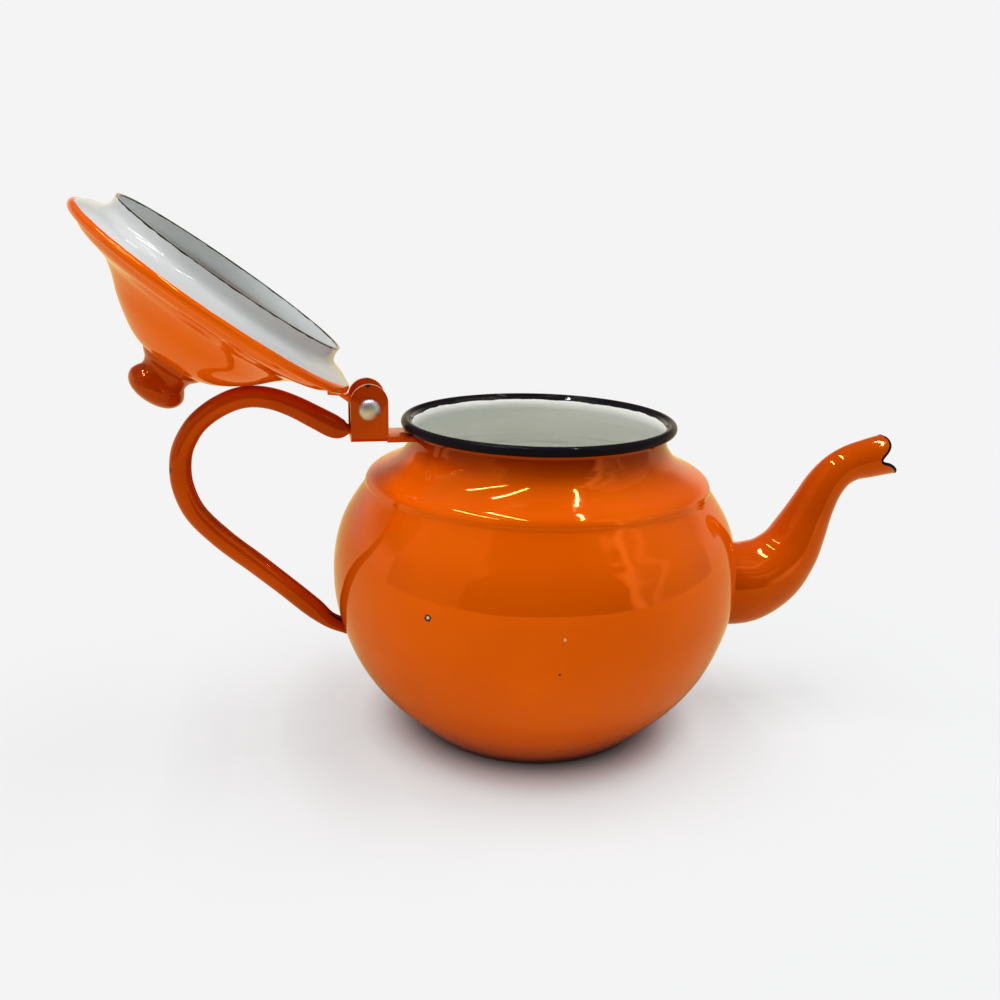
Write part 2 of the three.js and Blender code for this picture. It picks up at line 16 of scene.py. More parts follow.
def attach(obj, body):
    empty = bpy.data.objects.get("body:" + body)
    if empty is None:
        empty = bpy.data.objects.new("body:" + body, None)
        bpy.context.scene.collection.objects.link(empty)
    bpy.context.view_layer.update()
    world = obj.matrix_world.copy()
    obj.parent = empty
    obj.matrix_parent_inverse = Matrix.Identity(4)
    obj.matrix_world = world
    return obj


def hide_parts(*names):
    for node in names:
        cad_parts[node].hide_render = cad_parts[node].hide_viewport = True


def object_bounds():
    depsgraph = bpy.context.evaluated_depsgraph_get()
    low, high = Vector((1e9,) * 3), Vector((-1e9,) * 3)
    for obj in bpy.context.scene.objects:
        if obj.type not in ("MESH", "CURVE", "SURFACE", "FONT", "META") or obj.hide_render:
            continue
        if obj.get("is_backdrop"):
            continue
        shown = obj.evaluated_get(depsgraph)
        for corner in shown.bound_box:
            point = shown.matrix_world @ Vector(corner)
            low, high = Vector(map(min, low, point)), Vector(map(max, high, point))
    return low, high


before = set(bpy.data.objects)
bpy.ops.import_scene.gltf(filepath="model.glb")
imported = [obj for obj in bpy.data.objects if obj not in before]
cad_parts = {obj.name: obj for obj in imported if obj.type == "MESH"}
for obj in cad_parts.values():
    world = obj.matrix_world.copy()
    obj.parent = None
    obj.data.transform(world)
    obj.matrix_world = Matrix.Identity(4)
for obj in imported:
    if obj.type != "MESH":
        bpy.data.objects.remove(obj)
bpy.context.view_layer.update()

# %% [markdown]
# Outlines are easier to read in millimetres, so they are written that way and
# turned into metres in one place. A soft line adds points between a few measured
# ones, which is how a bent sheet runs. A copy of a line beside it gives the wall.

# %% Lines and outlines
MM = 0.001


def soft_line(points, steps):
    """The points with more between them, on one smooth curve through all of them."""
    points = [Vector(p) for p in points]
    ends = [2 * points[0] - points[1], *points, 2 * points[-1] - points[-2]]
    line = [points[0]]
    for four in zip(ends, ends[1:], ends[2:], ends[3:]):
        knots = [0]
        for near, far in zip(four, four[1:]):
            knots.append(knots[-1] + math.sqrt((far - near).length))
        for step in range(1, steps + 1):
            t = knots[1] + (knots[2] - knots[1]) * step / steps
            row = list(four)
            for level in (1, 2, 3):
                first = 1 if level == 3 else 0
                last = 2 if level == 3 else level
                row = [
                    near.lerp(far, (t - knots[i + first]) / (knots[i + last] - knots[i + first]))
                    for i, (near, far) in enumerate(zip(row, row[1:]))
                ]
            line.append(row[0])
    return line


def beside(line, distance):
    """The same line moved to its left by the distance."""
    moved = []
    for i, point in enumerate(line):
        along = line[min(i + 1, len(line) - 1)] - line[max(i - 1, 0)]
        along.normalize()
        moved.append(Vector((point.x - along.y * distance, point.y + along.x * distance)))
    return moved


def arc(centre, radius, start, end, steps):
    """Points on an arc, with the angles in degrees."""
    angles = [math.radians(start + (end - start) * i / steps) for i in range(steps + 1)]
    return [Vector((centre[0] + radius * math.cos(a), centre[1] + radius * math.sin(a))) for a in angles]


print("a soft line through 3 points has", len(soft_line([(0, 0), (1, 1), (2, 0)], 4)), "points")

# %% [markdown]
# Two ways of making a piece cover nearly all of this pot. A stamped or turned sheet
# is an outline spun about an axis, and a rolled or drawn tube is a ring extruded from
# place to place. A Screw modifier on a curve would give the same spun sheet, but an
# outline drawn in edit mode can be read and changed point by point. So each piece
# starts from one small primitive and is shaped with edit-mode operators, as by hand.

# %% Draw an outline and spin it


def lone_point(name, place):
    """A plane squeezed to one vertex: the start of an outline."""
    bpy.ops.object.select_all(action="DESELECT")
    bpy.ops.mesh.primitive_plane_add(size=MM)
    piece = bpy.context.object
    piece.name = name
    piece.data.name = name
    bpy.ops.object.mode_set(mode="EDIT")
    bpy.ops.mesh.select_all(action="SELECT")
    bpy.ops.mesh.merge(type="CENTER")
    bpy.ops.transform.translate(value=Vector(place) * MM)
    return piece


def draw_outline(name, places):
    """A chain of edges through the places, left in edit mode."""
    piece = lone_point(name, places[0])
    for near, far in zip(places, places[1:]):
        step = (Vector(far) - Vector(near)) * MM
        bpy.ops.mesh.extrude_region_move(TRANSFORM_OT_translate={"value": step})
    bpy.ops.mesh.select_all(action="SELECT")
    return piece


def tidy_shell(smooth_angle=40):
    """Merges doubles, points all faces outwards and shades the round parts smooth."""
    bpy.ops.mesh.select_all(action="SELECT")
    bpy.ops.mesh.remove_doubles(threshold=0.002 * MM)
    bpy.ops.mesh.normals_make_consistent(inside=False)
    bpy.ops.object.mode_set(mode="OBJECT")
    bpy.ops.object.shade_smooth_by_angle(angle=math.radians(smooth_angle))


def turned(name, outline, steps=128, centre=(0, 0, 0), axis=(0, 0, 1), smooth_angle=40):
    """Spins an outline of (radius, place along the axis) points."""
    centre, axis = Vector(centre), Vector(axis)
    places = [centre + Vector((p[0], 0, 0)) + axis * p[1] for p in outline]
    piece = draw_outline(name, places)
    bpy.ops.mesh.spin(steps=steps, angle=2 * math.pi, center=centre * MM, axis=axis)
    tidy_shell(smooth_angle)
    print(name, "has", len(piece.data.polygons), "faces")
    return piece


# %% [markdown]
# ## The pot
# The pot is one spun sheet: a flat base, a round belly, a crease where the shoulder
# was pressed in, a short neck, and an edge rolled outwards so that it isn't sharp.
# One surface with a Solidify modifier would do for the belly, but not for the rolled
# edge. So outside and inside are one closed outline, and the wall is real.

# %% The pot's outline, in points of (radius, height)
WALL = 0.9
BASE = [(0, 0.5), (20, 0.5), (33.5, 0.5), (35, 0.1), (36.2, 0), (37.6, 0.05)]
GLOBE = [(38.6, 0.5), (41.75, 3.9), (47.1, 9.0), (53.9, 16.2), (60.5, 25.9), (65.3, 37.8),
         (67.36, 47.0), (67.8, 54.0), (67.5, 60.7), (66.1, 68.0), (63.8, 74.1), (60.7, 79.3),
         (57.3, 84.3)]
CREASE = (57.0, 85.0)
SHOULDER = [(57.0, 85.9), (56.3, 87.3), (54.85, 88.5), (51.2, 90.2), (47.9, 92.0), (45.4, 94.0),
            (43.8, 96.05), (42.6, 98.1), (42.0, 100.0), (41.5, 102.0)]
RIM_RADIUS, RIM_HEIGHT, RIM_BEAD = 43.7, 104.7, 1.6
THROAT = [(41.8, 104.9), (41.2, 104.1), (40.8, 103.1)]
FLOOR = [(38.4, 1.6), (36, 1.4), (20, 1.4), (0, 1.4)]
FLOOR_CORNER = 3.2

pot_side = soft_line([*GLOBE, CREASE, *SHOULDER], 4)
rim_bead = arc((RIM_RADIUS, RIM_HEIGHT), RIM_BEAD, -140, 150, 20)
pot_inside = [p for p in beside(pot_side, WALL) if p.y > FLOOR_CORNER]
pot_outline = [Vector(p) for p in BASE] + pot_side + rim_bead + [Vector(p) for p in THROAT]
pot_outline += pot_inside[::-1] + [Vector(p) for p in FLOOR]
print("the pot's outline has", len(pot_outline), "points")

# %% [markdown]
# Modifiers finish most pieces. One of them, the Boolean, cuts one mesh with another,
# as a drill or a saw would. Modifiers can stay live, but here each is applied at
# once, so the next step sees the mesh as it is.

# %% Apply a modifier, and carve with another piece


def apply_modifier(piece, kind, **settings):
    """Adds a modifier with the settings and applies it at once."""
    bpy.ops.object.select_all(action="DESELECT")
    bpy.context.view_layer.objects.active = piece
    piece.select_set(True)
    modifier = piece.modifiers.new(kind.lower(), kind)
    for key, value in settings.items():
        setattr(modifier, key, value)
    bpy.ops.object.modifier_apply(modifier=modifier.name)


def carve(piece, cutter, operation="DIFFERENCE", solver="EXACT", keep_cutter=False):
    """A boolean with another piece, which is removed afterwards."""
    apply_modifier(piece, "BOOLEAN", object=cutter, operation=operation, solver=solver)
    if not keep_cutter:
        bpy.data.objects.remove(cutter)


# %% [markdown]
# Behind the spout, the pot's wall is a strainer: round holes that keep the leaves
# back. A dark picture of holes would do from far away, but here they are cut, with
# short cylinders, so that they also show from inside.

# %% Spin the pot and drill the strainer
SPOUT_HEIGHT = 44.3
HOLE_RADIUS, HOLE_RING, HOLES_ROUND = 2.2, 7.5, 6
DRILL_X, DRILL_LENGTH = 66, 16

pot_body = turned("pot_body", pot_outline, steps=144, smooth_angle=60)


def strainer_drill():
    """Round cutters that lie along x: one in the middle and a ring about it."""
    turns = [math.radians(360 / HOLES_ROUND * i) for i in range(HOLES_ROUND)]
    places = [(0, 0)] + [(HOLE_RING * math.cos(a), HOLE_RING * math.sin(a)) for a in turns]
    drills = []
    for across, up in places:
        bpy.ops.object.select_all(action="DESELECT")
        bpy.ops.mesh.primitive_cylinder_add(
            vertices=24, radius=HOLE_RADIUS * MM, depth=DRILL_LENGTH * MM, rotation=(0, math.pi / 2, 0),
            location=Vector((DRILL_X, across, SPOUT_HEIGHT + up)) * MM)
        drills.append(bpy.context.object)
    for drill in drills:
        drill.select_set(True)
    bpy.ops.object.join()
    return bpy.context.object


carve(pot_body, strainer_drill())
print("the drilled pot has", len(pot_body.data.polygons), "faces")

# %% [markdown]
# Spout, handle and bracket are welded to the pot's skin. Their ends could be shaped
# to the belly by hand, but a Boolean with a copy of the pot fits them all alike. The
# copy is solid and a little smaller than the pot, so each end sinks into the wall.

# %% A solid copy of the pot, to trim what is welded to it
WELD_DEPTH = 0.25
TRIM_LOW, TRIM_HIGH, TRIM_FOOT, TRIM_NECK = -3, 108, 38.3, 40

trimmer = turned("trimmer", [(0, TRIM_LOW), (TRIM_FOOT, TRIM_LOW), *beside(pot_side, WELD_DEPTH),
                             (TRIM_NECK, TRIM_HIGH), (0, TRIM_HIGH)], steps=144)
trimmer.hide_render = True

# %% [markdown]
# ## The spout
# A real spout is two pressed halves welded into a tapering S. A curve with a bevel
# could make it too, but its section would stay round, and this one is narrower than
# high at the root. So a ring is extruded up the S, turned and resized at each
# station. Its wall comes from a Solidify modifier, its root is trimmed by the pot,
# and its tip by an outline of the pouring edge: a round lobe, a notch and a lip.

# %% Extrude a ring along a path


def push_along(stations):
    """Extrudes what is selected through stations of (x, z, half depth, half width)."""
    def heading(i):
        near = stations[max(i - 1, 0)]
        far = stations[min(i + 1, len(stations) - 1)]
        return math.atan2(far[1] - near[1], far[0] - near[0])

    for i in range(1, len(stations)):
        before, here = stations[i - 1], stations[i]
        step = Vector((here[0] - before[0], 0, here[1] - before[1])) * MM
        centre = Vector((here[0], 0, here[1])) * MM
        turn = (heading(i) - heading(i - 1) + math.pi) % (2 * math.pi) - math.pi
        bpy.ops.mesh.extrude_region_move(TRANSFORM_OT_translate={"value": step})
        bpy.ops.transform.rotate(value=turn, orient_axis="Y", center_override=centre)
        depth, width = here[2] / before[2], here[3] / before[3]
        bpy.ops.transform.resize(value=(depth, width, depth), center_override=centre)


# %% Extrude the spout, in stations of (x, z, radius)
SPOUT = [(58.2, 44.3, 14.9), (67.8, 44.3, 14.9), (77.9, 44.5, 14.75), (87.5, 48.6, 13.1),
         (94.1, 55.4, 10.9), (98.2, 63.5, 9.2), (102.1, 72.6, 7.5), (105.8, 79.8, 6.7),
         (110.1, 84.7, 6.35), (115.4, 87.6, 6.45), (121.2, 89.0, 6.9), (127.5, 90.3, 7.2),
         (136.5, 91.7, 7.4)]
ROOT_WIDTH = 0.92

spout_line = soft_line(SPOUT, 6)
spout_stations = []
for i, (x, z, radius) in enumerate(spout_line):
    width = ROOT_WIDTH + (1 - ROOT_WIDTH) * min(2 * i / len(spout_line), 1)
    spout_stations.append((x, z, radius, radius * width))

bpy.ops.object.select_all(action="DESELECT")
first = spout_stations[0]
bpy.ops.mesh.primitive_circle_add(
    vertices=72, radius=first[2] * MM, rotation=(0, math.pi / 2, 0),
    location=Vector((first[0], 0, first[1])) * MM)
spout_tube = bpy.context.object
spout_tube.name = spout_tube.data.name = "spout_tube"
bpy.ops.object.transform_apply(location=True, rotation=True, scale=True)
bpy.ops.object.mode_set(mode="EDIT")
bpy.ops.mesh.select_all(action="SELECT")
bpy.ops.transform.resize(value=(1, ROOT_WIDTH, 1))
push_along(spout_stations)
tidy_shell()
apply_modifier(spout_tube, "SOLIDIFY", thickness=WALL * MM, offset=-1, use_even_offset=True)
print("the spout has", len(spout_tube.data.polygons), "faces")

# %% [markdown]
# The pouring edge is cut in one go, by a flat outline seen from the side and pushed
# right through the tip. Moving the tip's own vertices would be possible too, but
# they'd have to lie on the cut on both sides.

# %% Cut the pouring edge and trim the root


def plate(name, places, push):
    """Fills a closed flat outline and pushes it out to a solid."""
    piece = draw_outline(name, [*places, places[0]])
    bpy.ops.mesh.remove_doubles(threshold=0.002 * MM)
    bpy.ops.mesh.edge_face_add()
    bpy.ops.mesh.extrude_region_move(TRANSFORM_OT_translate={"value": Vector(push) * MM})
    tidy_shell(30)
    return piece


TIP_X, TIP_Z, TIP_RADIUS = 127.5, 90.3, 7.2
EDGE_SHARES = [(-0.26, 1.4), (-0.25, 1.02), (-0.13, 0.86), (-0.14, 0.6), (-0.27, 0.38),
               (-0.54, 0.07), (-0.61, -0.07), (-0.53, -0.2), (-0.12, -0.32), (0.26, -0.56),
               (0.44, -0.74), (0.58, -0.9), (0.62, -1.4)]
CUT_SIDE, CUT_LOW, CUT_HIGH, CUT_FAR = 15, 70, 115, 150

edge_line = soft_line([(TIP_X + a * TIP_RADIUS, TIP_Z + u * TIP_RADIUS) for a, u in EDGE_SHARES], 5)
edge_places = [(edge_line[0].x, -CUT_SIDE, CUT_HIGH), *[(p.x, -CUT_SIDE, p.y) for p in edge_line],
               (edge_line[-1].x, -CUT_SIDE, CUT_LOW), (CUT_FAR, -CUT_SIDE, CUT_LOW),
               (CUT_FAR, -CUT_SIDE, CUT_HIGH)]
carve(spout_tube, plate("pouring_edge_cutter", edge_places, (0, 2 * CUT_SIDE, 0)))
carve(spout_tube, trimmer, keep_cutter=True)
bpy.ops.object.shade_smooth_by_angle(angle=math.radians(35))
print("the cut spout has", len(spout_tube.data.polygons), "faces")

# %% [markdown]
# The pouring edge carries the same black enamel as the rim, and it builds up there
# into a thin round bead. A painted mask would be flat, so the bead is a piece of its
# own: a closed path along the cut, down one side of the tip and up the other, made
# into a round line by a curve's bevel.

# %% The black bead on the pouring edge
BEAD_RADIUS, BEAD_SIDE_LEAST, TIP_STEPS = 0.6, 0.4, 24


def tip_side(point):
    """How far to the side the middle of the spout's wall is, at a place on the cut."""
    best = None
    for near, far in zip(spout_line[-TIP_STEPS:], spout_line[1 - TIP_STEPS:]):
        for share in (0, 0.25, 0.5, 0.75):
            middle = near.lerp(far, share)
            off = math.hypot(point.x - middle.x, point.y - middle.y)
            if best is None or off < best[0]:
                best = (off, middle.z - WALL / 2)
    off, radius = best
    return math.sqrt(max(radius * radius - off * off, 0))


on_wall = [(p, tip_side(p)) for p in edge_line]
on_wall = [(p, side) for p, side in on_wall if side > BEAD_SIDE_LEAST]
bead_path = [(p.x, -side, p.y) for p, side in on_wall]
bead_path += [(p.x, side, p.y) for p, side in reversed(on_wall)]
pouring_bead = draw_outline("pouring_bead", [*bead_path, bead_path[0]])
bpy.ops.mesh.remove_doubles(threshold=0.01 * MM)
bpy.ops.object.mode_set(mode="OBJECT")
bpy.ops.object.convert(target="CURVE")
pouring_bead.data.bevel_depth = BEAD_RADIUS * MM
pouring_bead.data.bevel_resolution = 3
bpy.ops.object.convert(target="MESH")
pouring_bead.data.name = "pouring_bead"
bpy.ops.object.shade_smooth()
print("the bead has", len(pouring_bead.data.polygons), "faces")

# %% [markdown]
# ## The handle
# The handle is a strip rolled into a channel. Its open seam faces the fingers, and
# both ends are pressed flat: one lies between the ears, the other on the belly. A
# closed tube would look the same from behind, but not from the pot's side. So the
# ring is a C that goes round from one lip to the other, and Solidify gives the wall.

# %% Extrude the handle, in stations of (x, z, half depth, half width)


def round_edges(piece, width, segments, angle):
    """Bevels the edges that are sharper than the angle, as thick enamel rounds them."""
    apply_modifier(piece, "BEVEL", width=width * MM, segments=segments, limit_method="ANGLE",
                   angle_limit=math.radians(angle))


HANDLE = [(-52.0, 103.4, 1.0, 5.0), (-61.7, 103.5, 1.05, 5.0), (-63.9, 103.6, 2.9, 3.9),
          (-66.4, 104.1, 3.75, 3.6), (-72.0, 107.1, 3.8, 3.6), (-79.1, 110.95, 3.6, 3.5),
          (-85.6, 113.45, 3.5, 3.5), (-91.3, 114.25, 3.5, 3.5), (-95.9, 113.7, 3.5, 3.5),
          (-100.7, 111.8, 3.45, 3.5), (-105.7, 108.6, 3.4, 3.5), (-109.6, 104.7, 3.4, 3.5),
          (-113.2, 97.9, 3.5, 3.5), (-114.2, 91.8, 3.5, 3.5), (-113.7, 85.7, 3.5, 3.5),
          (-110.6, 77.6, 3.5, 3.5), (-102.4, 68.2, 3.5, 3.5), (-92.6, 59.6, 3.45, 3.5),
          (-83.3, 51.2, 3.4, 3.5), (-74.2, 42.7, 3.3, 3.6), (-69.4, 38.5, 2.3, 4.8),
          (-64.0, 36.0, 1.6, 6.0)]
SEAM, LIP_STEPS = 28, 26

handle_stations = [tuple(p) for p in soft_line(HANDLE, 5)]
x, z, depth, width = handle_stations[0]
lip_to_lip = [math.radians(SEAM + (360 - 2 * SEAM) * i / LIP_STEPS) for i in range(LIP_STEPS + 1)]
handle_channel = draw_outline("handle_channel", [
    (x, width * math.sin(a), z - depth * math.cos(a)) for a in lip_to_lip])
push_along(handle_stations)
tidy_shell(60)
apply_modifier(handle_channel, "SOLIDIFY", thickness=WALL * MM, offset=-1)
round_edges(handle_channel, 0.3, 2, 50)
carve(handle_channel, trimmer, solver="FAST", keep_cutter=True)
bpy.ops.object.shade_smooth_by_angle(angle=math.radians(60))
print("the handle has", len(handle_channel.data.polygons), "faces")

# %% [markdown]
# ## The hinge
# A strap is folded up into two ears, with a rivet through them. The fold could be cut
# from a block and bevelled, but its inner and outer radius differ. So it is drawn end
# on and pushed out. The round tops come from a second outline that it is intersected
# with, and a small bevel rounds all edges, as thick enamel does.

# %% The bracket
PIN = Vector((-56, 0, 110.7))
EAR_HALF, EAR_TOP, EAR_SHEET = 5.85, 112.9, 1.7
BRACKET_HALF, STRAP_LOW, STRAP_SHEET, STRAP_LENGTH, STRAP_OVERLAP = 7, 100.3, 1.8, 12, 0.4
FOLD_OUTER, FOLD_INNER = 2.2, 0.6
BLANK_LOW, BLANK_HIGH, BLANK_SIDE = 95, 125, 12

inner_half = BRACKET_HALF - EAR_SHEET
strap_top = STRAP_LOW + STRAP_SHEET
outer_y, outer_z = BRACKET_HALF - FOLD_OUTER, STRAP_LOW + FOLD_OUTER
inner_y, inner_z = inner_half - FOLD_INNER, strap_top + FOLD_INNER
fold = [Vector((-BRACKET_HALF, BLANK_HIGH)), *arc((-outer_y, outer_z), FOLD_OUTER, 180, 270, 8),
        *arc((outer_y, outer_z), FOLD_OUTER, 270, 360, 8), Vector((BRACKET_HALF, BLANK_HIGH)),
        Vector((inner_half, BLANK_HIGH)), *arc((inner_y, inner_z), FOLD_INNER, 0, -90, 4),
        *arc((-inner_y, inner_z), FOLD_INNER, 270, 180, 4), Vector((-inner_half, BLANK_HIGH))]
ear_start = PIN.x - EAR_HALF
hinge_strap = plate("hinge_strap", [(ear_start, y, z) for y, z in fold], (2 * EAR_HALF, 0, 0))
ear_view = [Vector((ear_start, BLANK_LOW)), Vector((PIN.x + EAR_HALF, BLANK_LOW)),
            *arc((PIN.x, EAR_TOP), EAR_HALF, 0, 180, 32)]
carve(hinge_strap, plate("ear_view", [(x, -BLANK_SIDE, z) for x, z in ear_view], (0, 2 * BLANK_SIDE, 0)),
      "INTERSECT")
print("the folded ears have", len(hinge_strap.data.polygons), "faces")

# %% The strap that holds the bracket to the neck
strap_start = PIN.x + EAR_HALF - STRAP_OVERLAP
strap_end_on = [(-BRACKET_HALF, STRAP_LOW), (BRACKET_HALF, STRAP_LOW), (BRACKET_HALF, strap_top),
                (-BRACKET_HALF, strap_top)]
strap = plate("strap", [(strap_start, y, z) for y, z in strap_end_on], (STRAP_LENGTH, 0, 0))
carve(hinge_strap, strap, "UNION")
carve(hinge_strap, trimmer, keep_cutter=True)
round_edges(hinge_strap, 0.35, 3, 40)
bpy.ops.object.shade_smooth_by_angle(angle=math.radians(50))
print("the bracket has", len(hinge_strap.data.polygons), "faces")

# %% [markdown]
# The rivet is turned: a domed head, a shank, and a flat end on the far side. A
# squashed sphere and a cylinder could be joined, but one spun outline has no seam.

# %% The rivet, in points of (radius, place along the pin)
RIVET_HEAD = [(0, -8.8), (1.2, -8.68), (2.3, -8.3), (3.05, -7.75), (3.4, -7.25), (3.5, -7.02)]
RIVET_END = [(3, 7), (2.9, 7.5), (2.4, 8.05), (0, 8.1)]
SHANK = 1.6

shank_and_end = [(SHANK, -BRACKET_HALF), (SHANK, BRACKET_HALF), *RIVET_END]
rivet_outline = soft_line(RIVET_HEAD, 4) + [Vector(p) for p in shank_and_end]
hinge_rivet_piece = turned("rivet", rivet_outline, steps=64, centre=PIN, axis=(0, 1, 0))

# %% [markdown]
# ## The lid
# The lid is a stamped dome with a thick rolled edge, and a ring under it that rests
# on the rim and reaches down inside the neck. It could be drawn where it leans in
# the photograph, but outlines are easier to read on a closed lid. So it is spun
# closed on the pot, and later swung open about the rivet with one turn in edit mode.

# %% Lid outlines, in points of (radius, height) on the closed lid
SEAT = 106.6
LID_EDGE = Vector((46.0, SEAT + 2.9))
LID_BEAD = 1.5
DOME = [(44.7, 111.0), (42.3, 112.95), (37.3, 114.7), (32.8, 116.35), (28.5, 119.6),
        (24.3, 123.85), (20.4, 127.2), (14.5, 131.25), (9.5, 133.1), (4.75, 134.05), (0, 134.4)]
COLLAR_RADIUS, COLLAR_LOW = 38.1, SEAT - 6.2
BRIM = [(46.6, 108.25), (45.5, 107.6), (44.0, 106.85), (42.3, 106.25), (40.6, 105.7), (39.3, 105.0),
        (38.5, 104.0), (38.15, 102.8), (COLLAR_RADIUS, 101.6), (COLLAR_RADIUS, COLLAR_LOW)]
KNOB = [(10.2, 132.9), (9.2, 134.2), (7.9, 135.6), (7.3, 136.9), (7.35, 138.3), (8.2, 139.7),
        (8.9, 141.5), (8.55, 143.4), (7.4, 145.0), (5.4, 146.2), (2.7, 146.9), (0, 147.0)]

dome_outside = soft_line(DOME, 6)
dome_inside = beside(dome_outside, WALL)
dome_inside[-1].x = 0
lid_roll = arc(LID_EDGE, LID_BEAD, -150, 80, 18)
dome_outline = dome_inside[::-1] + lid_roll + dome_outside
collar_under = soft_line(BRIM, 4)
collar_outline = collar_under + beside(collar_under, -WALL)[::-1] + [collar_under[0]]
print("the dome's outline has", len(dome_outline), "points")

# %% Spin the dome, the collar and the knob
lid_dome_shell = turned("lid_dome_shell", dome_outline, steps=144, smooth_angle=60)
lid_collar_ring = turned("lid_collar_ring", collar_outline, steps=144, smooth_angle=60)
knob_outside = soft_line(KNOB, 5)
knob_inside = beside(knob_outside, WALL)
knob_inside[-1].x = 0
lid_knob_cap = turned("lid_knob_cap", knob_inside[::-1] + knob_outside, steps=72, smooth_angle=60)

# %% [markdown]
# The leaf is a strip welded to the lid's edge and rolled into an eye round the
# rivet. A bent strip would do, but its roll would have to close exactly, so a plate
# and a cylinder are made one and drilled. Each is bevelled first, because on the
# joined piece the short edges where they meet would hold the bevel back. The eye is
# a little shorter than the plate is wide: two ends in one plane would leave a gap.

# %% The leaf that joins the lid to the rivet
LEAF_SIDE = [(-56, 111.3), (-45.4, 111.3), (-42.3, 113.25), (-42.9, 114.4), (-45.9, 112.6), (-56, 112.6)]
LEAF_HALF = 4.9
EYE_RADIUS, EYE_LENGTH = 3.0, 9.5
BORE_RADIUS, BORE_LENGTH = 1.9, 30

lid_leaf = plate("lid_leaf", [(x, -LEAF_HALF, z) for x, z in LEAF_SIDE], (0, 2 * LEAF_HALF, 0))


def eye(radius, length):
    """A cylinder round the rivet."""
    bpy.ops.object.select_all(action="DESELECT")
    bpy.ops.mesh.primitive_cylinder_add(
        vertices=40, radius=radius * MM, depth=length * MM, rotation=(math.pi / 2, 0, 0),
        location=PIN * MM)
    return bpy.context.object


knuckle = eye(EYE_RADIUS, EYE_LENGTH)
for blank in (lid_leaf, knuckle):
    round_edges(blank, 0.3, 2, 40)
carve(lid_leaf, knuckle, "UNION")
carve(lid_leaf, eye(BORE_RADIUS, BORE_LENGTH))
bpy.ops.object.mode_set(mode="EDIT")
bpy.ops.mesh.select_all(action="SELECT")
bpy.ops.mesh.dissolve_degenerate(threshold=0.001 * MM)
bpy.ops.object.mode_set(mode="OBJECT")
bpy.ops.object.shade_smooth_by_angle(angle=math.radians(50))
print("the leaf has", len(lid_leaf.data.polygons), "faces")

# %% [markdown]
# ## Enamel, inside and out
# Faces that look into the pot or into the lid get a second material, the white
# enamel, and the rim a third, the black. They could be painted with masks alone, but
# a slot of its own gives each its shine. They are picked by where they are and which
# way they look, while the lid is still closed. The lid swings open only after that.

# %% Pick the inner faces
FLOOR_TOP, RIM_MARGIN = 2, 0.1
DOME_REACH, DOME_CROWN = 44.5, 134


def give_slot(piece, slot, belongs):
    """Gives a material slot to the faces that the test picks by place and normal."""
    count = 0
    for face in piece.data.polygons:
        if belongs(face.center / MM, face.normal):
            face.material_index = slot
            count += 1
    print(piece.name, "has", count, "faces in slot", slot)


def towards_axis(place, normal):
    """True where a face looks at the z axis."""
    return normal.x * place.x + normal.y * place.y < 0


def in_pot(place, normal):
    """True on the pot's floor and on the inner side of its wall."""
    on_floor = place.z < FLOOR_TOP and normal.z > 0.5
    return on_floor or (towards_axis(place, normal) and place.z > FLOOR_TOP / 2)


def on_rim(place, normal):
    """True on the rolled edge of the mouth."""
    out = math.hypot(place.x, place.y) - RIM_RADIUS
    return math.hypot(out, place.z - RIM_HEIGHT) < RIM_BEAD + RIM_MARGIN


def in_lid(place, normal):
    """True on the side of the closed lid's dome that looks down into the pot."""
    below_dome = place.z < DOME_CROWN and math.hypot(place.x, place.y) < DOME_REACH
    return below_dome and (normal.z < -0.2 or towards_axis(place, normal))


give_slot(pot_body, 1, in_pot)
give_slot(pot_body, 2, on_rim)
give_slot(lid_dome_shell, 1, in_lid)

# %% Swing the lid open
OPEN_ANGLE = math.radians(144.4)


def swing_open(piece):
    """Turns a closed lid piece about the rivet to where it leans on the handle."""
    bpy.ops.object.select_all(action="DESELECT")
    bpy.context.view_layer.objects.active = piece
    piece.select_set(True)
    bpy.ops.object.transform_apply(location=True, rotation=True, scale=True)
    bpy.ops.object.mode_set(mode="EDIT")
    bpy.ops.mesh.select_all(action="SELECT")
    bpy.ops.transform.rotate(value=OPEN_ANGLE, orient_axis="Y", center_override=PIN * MM)
    bpy.ops.object.mode_set(mode="OBJECT")


for piece in (lid_dome_shell, lid_collar_ring, lid_knob_cap, lid_leaf):
    swing_open(piece)
bpy.data.objects.remove(trimmer)
print("the lid is open by", round(math.degrees(OPEN_ANGLE), 1), "degrees")

# %% [markdown]
# ## Shader groups
# Four effects come back in several finishes: the slow waves in fired enamel, a colour
# that drifts a little, a band painted along a circle with an unsteady edge, and a
# chip down to the dark ground. Their nodes could be copied into each material, but
# then a change has to be made in each. So each effect is a group with named sockets.

# %% Make a group, and add nodes to it


def new_group(name, inputs, outputs):
    """A shader node group with its sockets, its input node and its output node."""
    group = bpy.data.node_groups.new(name, "ShaderNodeTree")
    for label, kind, value in inputs:
        socket = group.interface.new_socket(name=label, in_out="INPUT", socket_type="NodeSocket" + kind)
        if value is not None:
            socket.default_value = value
    for label, kind in outputs:
        group.interface.new_socket(name=label, in_out="OUTPUT", socket_type="NodeSocket" + kind)
    given = group.nodes.new("NodeGroupInput")
    made = group.nodes.new("NodeGroupOutput")
    given.location, made.location = (-900, 0), (500, 0)
    return group, given, made


def add(tree, kind, x=0, y=0, **settings):
    """A node with its place and its settings."""
    node = tree.nodes.new("ShaderNode" + kind)
    node.location = (x, y)
    for key, value in settings.items():
        setattr(node, key, value)
    return node


# %% The three nodes that come back everywhere: maths, noise and a ramp


